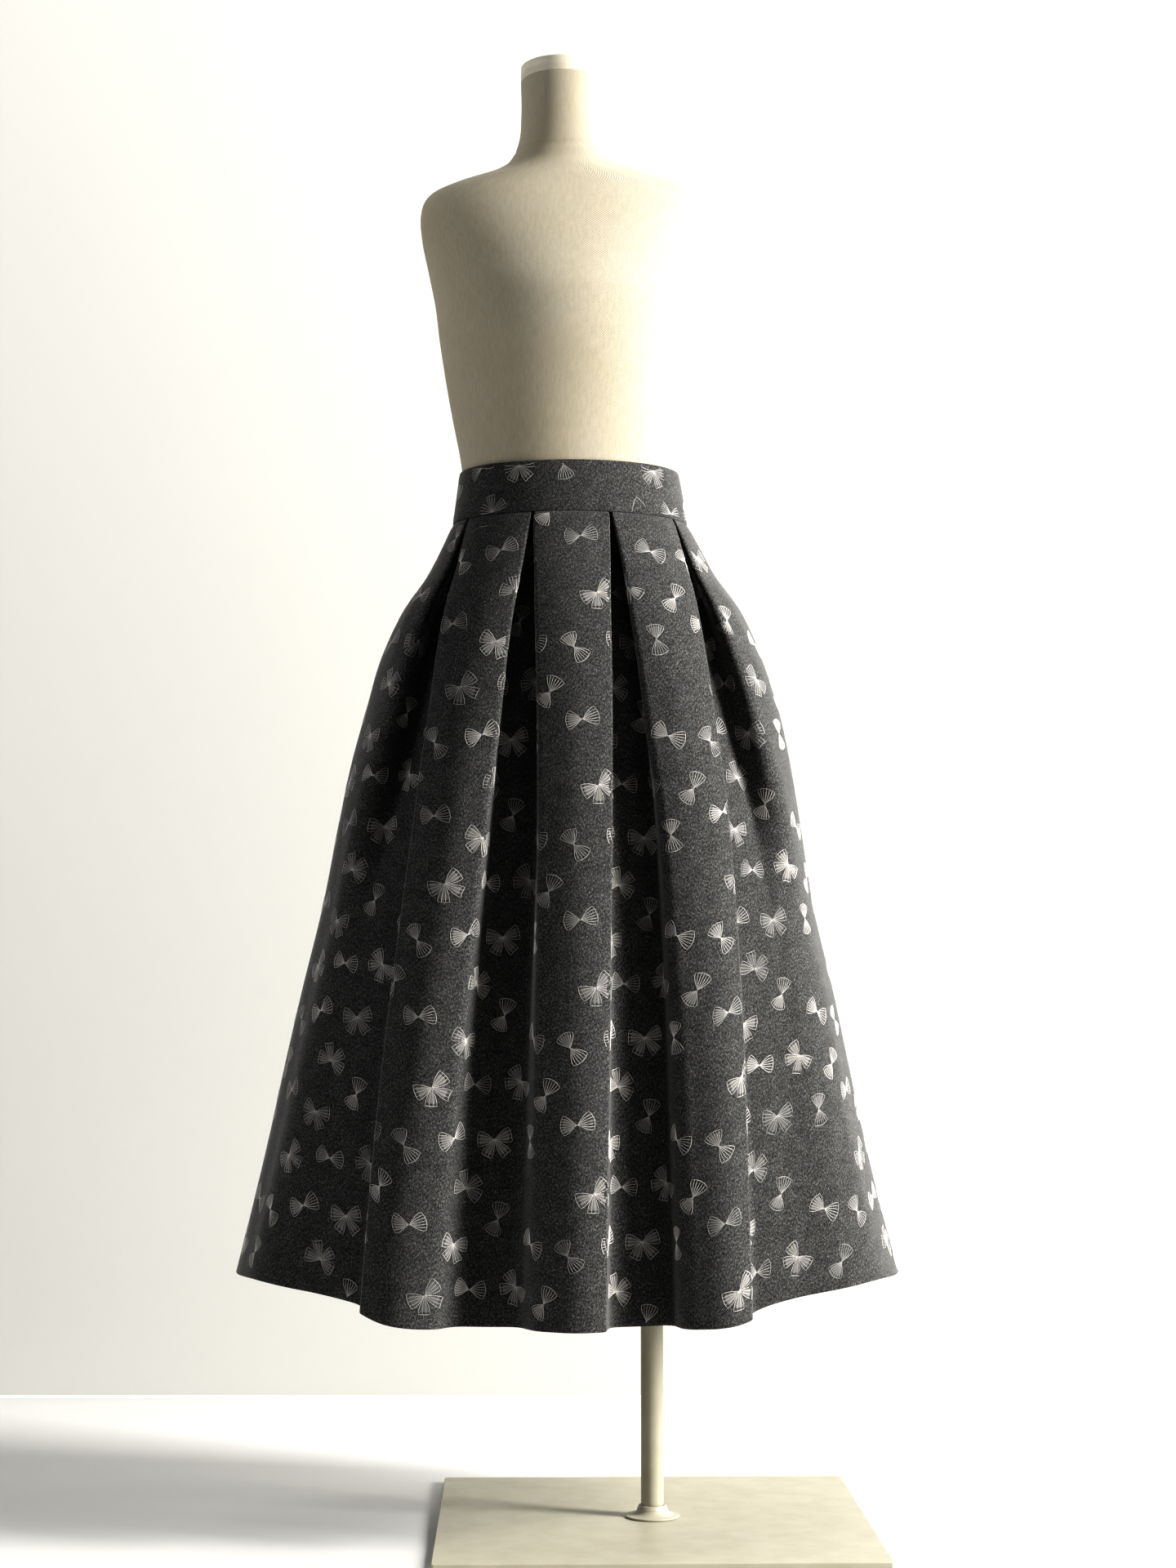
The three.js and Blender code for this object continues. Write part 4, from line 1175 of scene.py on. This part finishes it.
TORSO_RINGS = Table("height centre width front back", [
    (850, 3, 148, 100, 112), (854, 3, 156, 107, 119), (870, 3, 161, 111, 123), (910, 3, 164, 113, 125),
    (960, 3, 163, 112, 123), (1010, 3, 157, 108, 117), (1050, 3, 144, 101, 108), (1085, 3, 130.5, 96, 98.5),
    (1110, 3, 123.5, 93, 93.5), (1135, 3, 123, 92.3, 91.5), (1165, 3, 122.4, 92, 90.6),
    (1189, 3, 123.1, 92.4, 90.9), (1215, 3, 127, 95, 94), (1255, 2, 134, 101, 98),
    (1300, 2, 142, 111, 103), (1345, 1, 148, 121, 107), (1385, 1, 153, 122, 109),
    (1425, 1, 161, 108, 108), (1465, 0, 168, 90, 102), (1498, 0, 169, 74, 92), (1518, 0, 158, 64, 82),
    (1531, -1, 128, 59, 74), (1542, -1, 90, 55, 66), (1554, -1, 68, 51, 59), (1580, -1, 55, 50, 53),
    (1615, -1.5, 51.5, 50.5, 51), (1651.2, -1.5, 52, 52, 52),
])
NECK_SEAM_HEIGHT = 1566
SIDE_GROOVE = 0.6
NECK_GROOVE = 0.8
MEAN_GIRTH_RADIUS = 120


def torso_piece():
    """The cloth-covered body, with its seams as fine grooves at the sides, the back and the neck."""
    columns = 180
    heights = np.concatenate([[850, 850.4, 851.4, 853], np.linspace(856, 1649, 250), [1650.4, 1651.2]])
    angle = np.linspace(0, 2 * np.pi, columns + 1)
    across, forward = np.sin(angle), np.cos(angle)
    side_seams = sum(swell(angle - seam, 0.012) for seam in (np.pi / 2, np.pi, 1.5 * np.pi))
    rows, flat = [], []
    for height in heights:
        width = TORSO_RINGS.at("width", height)
        depth = np.where(forward > 0, TORSO_RINGS.at("front", height), TORSO_RINGS.at("back", height))
        groove = SIDE_GROOVE * side_seams + NECK_GROOVE * swell(height - NECK_SEAM_HEIGHT, 1.6)
        x = TORSO_RINGS.at("centre", height) + (width - groove) * across
        y = -(depth - groove) * forward
        rows.append(np.column_stack([x, y, np.full_like(x, height)]))
        flat.append(np.column_stack([angle * MEAN_GIRTH_RADIUS, np.full_like(angle, height)]))
    points = np.concatenate(rows)
    top = (len(heights) - 1) * (columns + 1)
    faces = [*grid_faces(len(heights), columns + 1, flip=True), range(columns)[::-1],
             range(top, top + columns)]
    piece = mesh_piece("form_torso_cloth", points, faces, TWILL,
                       places=np.concatenate(flat))
    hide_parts("form_torso")
    return piece


CAP_RADIUS = 51.5
CAP_BOTTOM = 1651.5
CAP_TOP = 1670
CAP_X = -2
POLE_X = 97
POLE_RADIUS = 12.7
PLATE_SIDE = 480
PLATE_THICKNESS = 7
PLATE_TURN = math.radians(1.3)
FLANGE_RADIUS = 30.5
COLLAR_RADIUS = 15.8
COLLAR_HEIGHT = 13
SOCKET_RADIUS = 24
SOCKET_HEIGHT = 16
TORSO_BOTTOM = 850


def turned_piece(name, node, profile, material, centre):
    points, faces = turned(profile, 96, centre)
    piece = mesh_piece(name, points, faces, material)
    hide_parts(node)
    return piece


def rounded(corners, radius, steps=4):
    """A closed profile with each corner rounded."""
    corners = np.array(corners, float)
    count = len(corners)
    found = []
    for index in range(count):
        before, corner, after = corners[index - 1], corners[index], corners[(index + 1) % count]
        to_before, to_after = before - corner, after - corner
        reach = min(radius, np.linalg.norm(to_before) / 2.2, np.linalg.norm(to_after) / 2.2)
        first = corner + to_before / np.linalg.norm(to_before) * reach
        last = corner + to_after / np.linalg.norm(to_after) * reach
        for t in np.linspace(0, 1, steps + 1):
            found.append((1 - t) ** 2 * first + 2 * t * (1 - t) * corner + t * t * last)
    return found


def cap_piece():
    """The painted cap: a disc with soft edges and a shallow groove round its lower half."""
    groove = CAP_BOTTOM + 1.8
    profile = [(0.05, CAP_BOTTOM), (CAP_RADIUS - 1, CAP_BOTTOM), (CAP_RADIUS - 0.2, CAP_BOTTOM + 0.6),
               (CAP_RADIUS, groove), (CAP_RADIUS - 0.5, groove + 0.5), (CAP_RADIUS, groove + 1)]
    for turn in np.linspace(0, math.pi / 2, 6):
        profile.append((CAP_RADIUS - 1.6 * (1 - math.cos(turn)), CAP_TOP - 1.6 + 1.6 * math.sin(turn)))
    profile += [(CAP_RADIUS - 12, CAP_TOP), (0.6, CAP_TOP), (0.05, CAP_TOP)]
    return turned_piece("form_neck_cap_wood", "form_neck_cap", profile, CAP_PAINT, (CAP_X, 0))


def pole_piece():
    low, high = PLATE_THICKNESS + SEAM_GAP, TORSO_BOTTOM - SEAM_GAP
    profile = [(0.05, low), (POLE_RADIUS, low)]
    profile += [(POLE_RADIUS, low + (high - low) * share) for share in np.linspace(0.02, 0.98, 25)]
    profile += [(POLE_RADIUS, high), (0.05, high)]
    return turned_piece("pole_tube", "pole", profile, STAND_PAINT, (POLE_X, 0))


def flange_piece():
    bore = POLE_RADIUS + SEAM_GAP
    seat = PLATE_THICKNESS + SEAM_GAP
    sweep = FLANGE_RADIUS - COLLAR_RADIUS - 2
    profile = [(bore, seat), (FLANGE_RADIUS - 0.3, seat), (FLANGE_RADIUS, seat + 0.4),
               (FLANGE_RADIUS, seat + 1.5), (FLANGE_RADIUS - 0.5, seat + 2)]
    for turn in np.linspace(0.12, math.pi / 2, 12):
        rise = (COLLAR_HEIGHT - 5) * (1 - math.cos(turn))
        profile.append((FLANGE_RADIUS - 1 - sweep * math.sin(turn), seat + 2 + rise))
    top = seat + COLLAR_HEIGHT
    profile += [(COLLAR_RADIUS, top - 2.5), (COLLAR_RADIUS, top - 0.7), (COLLAR_RADIUS - 0.6, top),
                (bore, top)]
    return turned_piece("pole_flange_turned", "pole_flange", profile, STAND_PAINT,
                        (POLE_X, 0))


def socket_piece():
    bore, top = POLE_RADIUS + SEAM_GAP, TORSO_BOTTOM - SEAM_GAP
    corners = [(bore, top - SOCKET_HEIGHT), (SOCKET_RADIUS - 6, top - SOCKET_HEIGHT),
               (SOCKET_RADIUS - 6, top - 4), (SOCKET_RADIUS, top - 4), (SOCKET_RADIUS, top), (bore, top)]
    return turned_piece("pole_socket_turned", "pole_socket", rounded(corners, 0.8), STAND_PAINT,
                        (POLE_X, 0))


def plate_piece():
    """The square steel plate with slightly rounded corners and soft painted edges."""
    half, corner = PLATE_SIDE / 2, 3
    plan = []
    for quarter in range(4):
        turn = quarter * math.pi / 2
        middle = turn + math.pi / 4
        x, y = (half - corner) * np.sign([math.cos(middle), math.sin(middle)])
        plan += list(arc(corner, turn, turn + math.pi / 2, 7, (x, y)))
    plan = np.array(plan)
    spin = np.array([[math.cos(PLATE_TURN), math.sin(PLATE_TURN)],
                     [-math.sin(PLATE_TURN), math.cos(PLATE_TURN)]])
    levels = [(0.8, 0), (0, 0.8), (0, PLATE_THICKNESS - 0.9), (0.35, PLATE_THICKNESS - 0.25),
              (0.9, PLATE_THICKNESS)]
    rows = [np.column_stack([(plan * (1 - inset / half)) @ spin + (POLE_X, 0), np.full(len(plan), level)])
            for inset, level in levels]
    count = len(plan)
    faces = [range(count)[::-1], range((len(rows) - 1) * count, len(rows) * count),
             *tube_faces(len(rows), count)]
    piece = mesh_piece("base_plate_steel", np.concatenate(rows), faces, STAND_PAINT)
    weighted = piece.modifiers.new("flat faces", "WEIGHTED_NORMAL")
    weighted.keep_sharp = True
    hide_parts("base_plate")
    return piece


torso_piece()
cap_piece()
pole_piece()
flange_piece()
socket_piece()
plate_piece()


# The front's cloth area in square metres, and the cloth's width at the hem in metres.
# Sheets of cloth: the cut of what shows

panel_area = float(np.trapz([2 * half_cloth_at(d) for d in front_cloth.downs], front_cloth.fall)) * 1e-6
hem_width = 2 * half_cloth_at(1.0) * MM


# Floor, wall, lights and camera

def stage_look(name, colour, roughness):
    look = Look(name)
    dark = tuple(0.985 * value for value in colour[:3]) + (1,)
    dust = look.noise(look.object_place(), 1.4, 4)
    look.shade(Base_Color=look.ramp(dust, [(0.3, dark), (0.7, colour)]), Roughness=roughness,
               Specular_IOR_Level=0.2)
    return look


def stage_plane(name, corners, material):
    mesh = bpy.data.meshes.new(name)
    mesh.from_pydata(corners, [], [(0, 1, 2, 3)])
    mesh.materials.append(material)
    plane = bpy.data.objects.new(name, mesh)
    bpy.context.scene.collection.objects.link(plane)
    return plane


WALL_Y = 0.885
STAGE_REACH = 2.4
floor_paint = stage_look("floor_paint", (0.66, 0.66, 0.65, 1), 0.7).material
stage_plane("floor", [(-STAGE_REACH, -STAGE_REACH, 0), (STAGE_REACH, -STAGE_REACH, 0),
                      (STAGE_REACH, WALL_Y, 0), (-STAGE_REACH, WALL_Y, 0)], floor_paint)


def wall():
    """The pale wall behind the form. Seen from its back it lets the view through."""
    look = stage_look("wall_paint", (0.56, 0.556, 0.535, 1), 0.9)
    behind = look.add("NewGeometry").outputs["Backfacing"]
    look.choose(behind, look.shader, look.add("BsdfTransparent"), "Material Output")
    height, lift = 3.2, 0.004
    stage_plane("wall", [(-STAGE_REACH, WALL_Y, lift), (STAGE_REACH, WALL_Y, lift),
                         (STAGE_REACH, WALL_Y, height), (-STAGE_REACH, WALL_Y, height)], look.material)


wall()


def area_light(name, place, aim, size, power, colour=(1, 1, 1)):
    light = bpy.data.lights.new(name, "AREA")
    light.shape = "RECTANGLE"
    light.size, light.size_y = size
    light.energy = power
    light.color = colour
    lamp = bpy.data.objects.new(name, light)
    lamp.location = place
    direction = np.array(aim) - np.array(place)
    lamp.rotation_euler = Vector(direction).to_track_quat("-Z", "Y").to_euler()
    bpy.context.scene.collection.objects.link(lamp)
    return lamp


area_light("window", (3.25, -1.12, 2.0), (0, 0, 0.85), (0.9, 2.0), 258, (1.0, 0.985, 0.955))
area_light("left_fill", (-3.0, -1.3, 1.9), (0, 0, 1.0), (1.2, 1.6), 24)
area_light("wall_wash", (-0.2, -0.1, 3.1), (-0.3, WALL_Y, 0.9), (3.6, 0.3), 16, (1.0, 0.99, 0.965))


def studio_world():
    """A pale backdrop all round, which itself lights the object only dimly."""
    world = bpy.data.worlds.new("studio")
    bpy.context.scene.world = world
    nodes = Nodes(world)
    dim = nodes.add("Background", Color=(0.93, 0.96, 1.0, 1), Strength=0.03)
    pale = nodes.add("Background", Color=(0.93, 0.93, 0.91, 1))
    seen = nodes.add("LightPath").outputs["Is Camera Ray"]
    nodes.choose(seen, dim, pale, "World Output")


studio_world()

view_settings = bpy.context.scene.view_settings
view_settings.view_transform = "Standard"
view_settings.look = "Very High Contrast"

CAMERA_PLACE = (0.0248, -3.04, 0.613)
CAMERA_PITCH = math.radians(4.12)
FOCAL_PIXELS = 3258
PHOTO_LONG_SIDE = 1920
SENSOR = 36

camera_data = bpy.data.cameras.new("camera")
camera_data.sensor_width = SENSOR
camera_data.lens = FOCAL_PIXELS / PHOTO_LONG_SIDE * SENSOR
camera_data.clip_start, camera_data.clip_end = 0.05, 60
camera = bpy.data.objects.new("camera", camera_data)
camera.location = CAMERA_PLACE
camera.rotation_euler = (math.pi / 2 + CAMERA_PITCH, 0, 0)
bpy.context.scene.collection.objects.link(camera)
bpy.context.scene.camera = camera
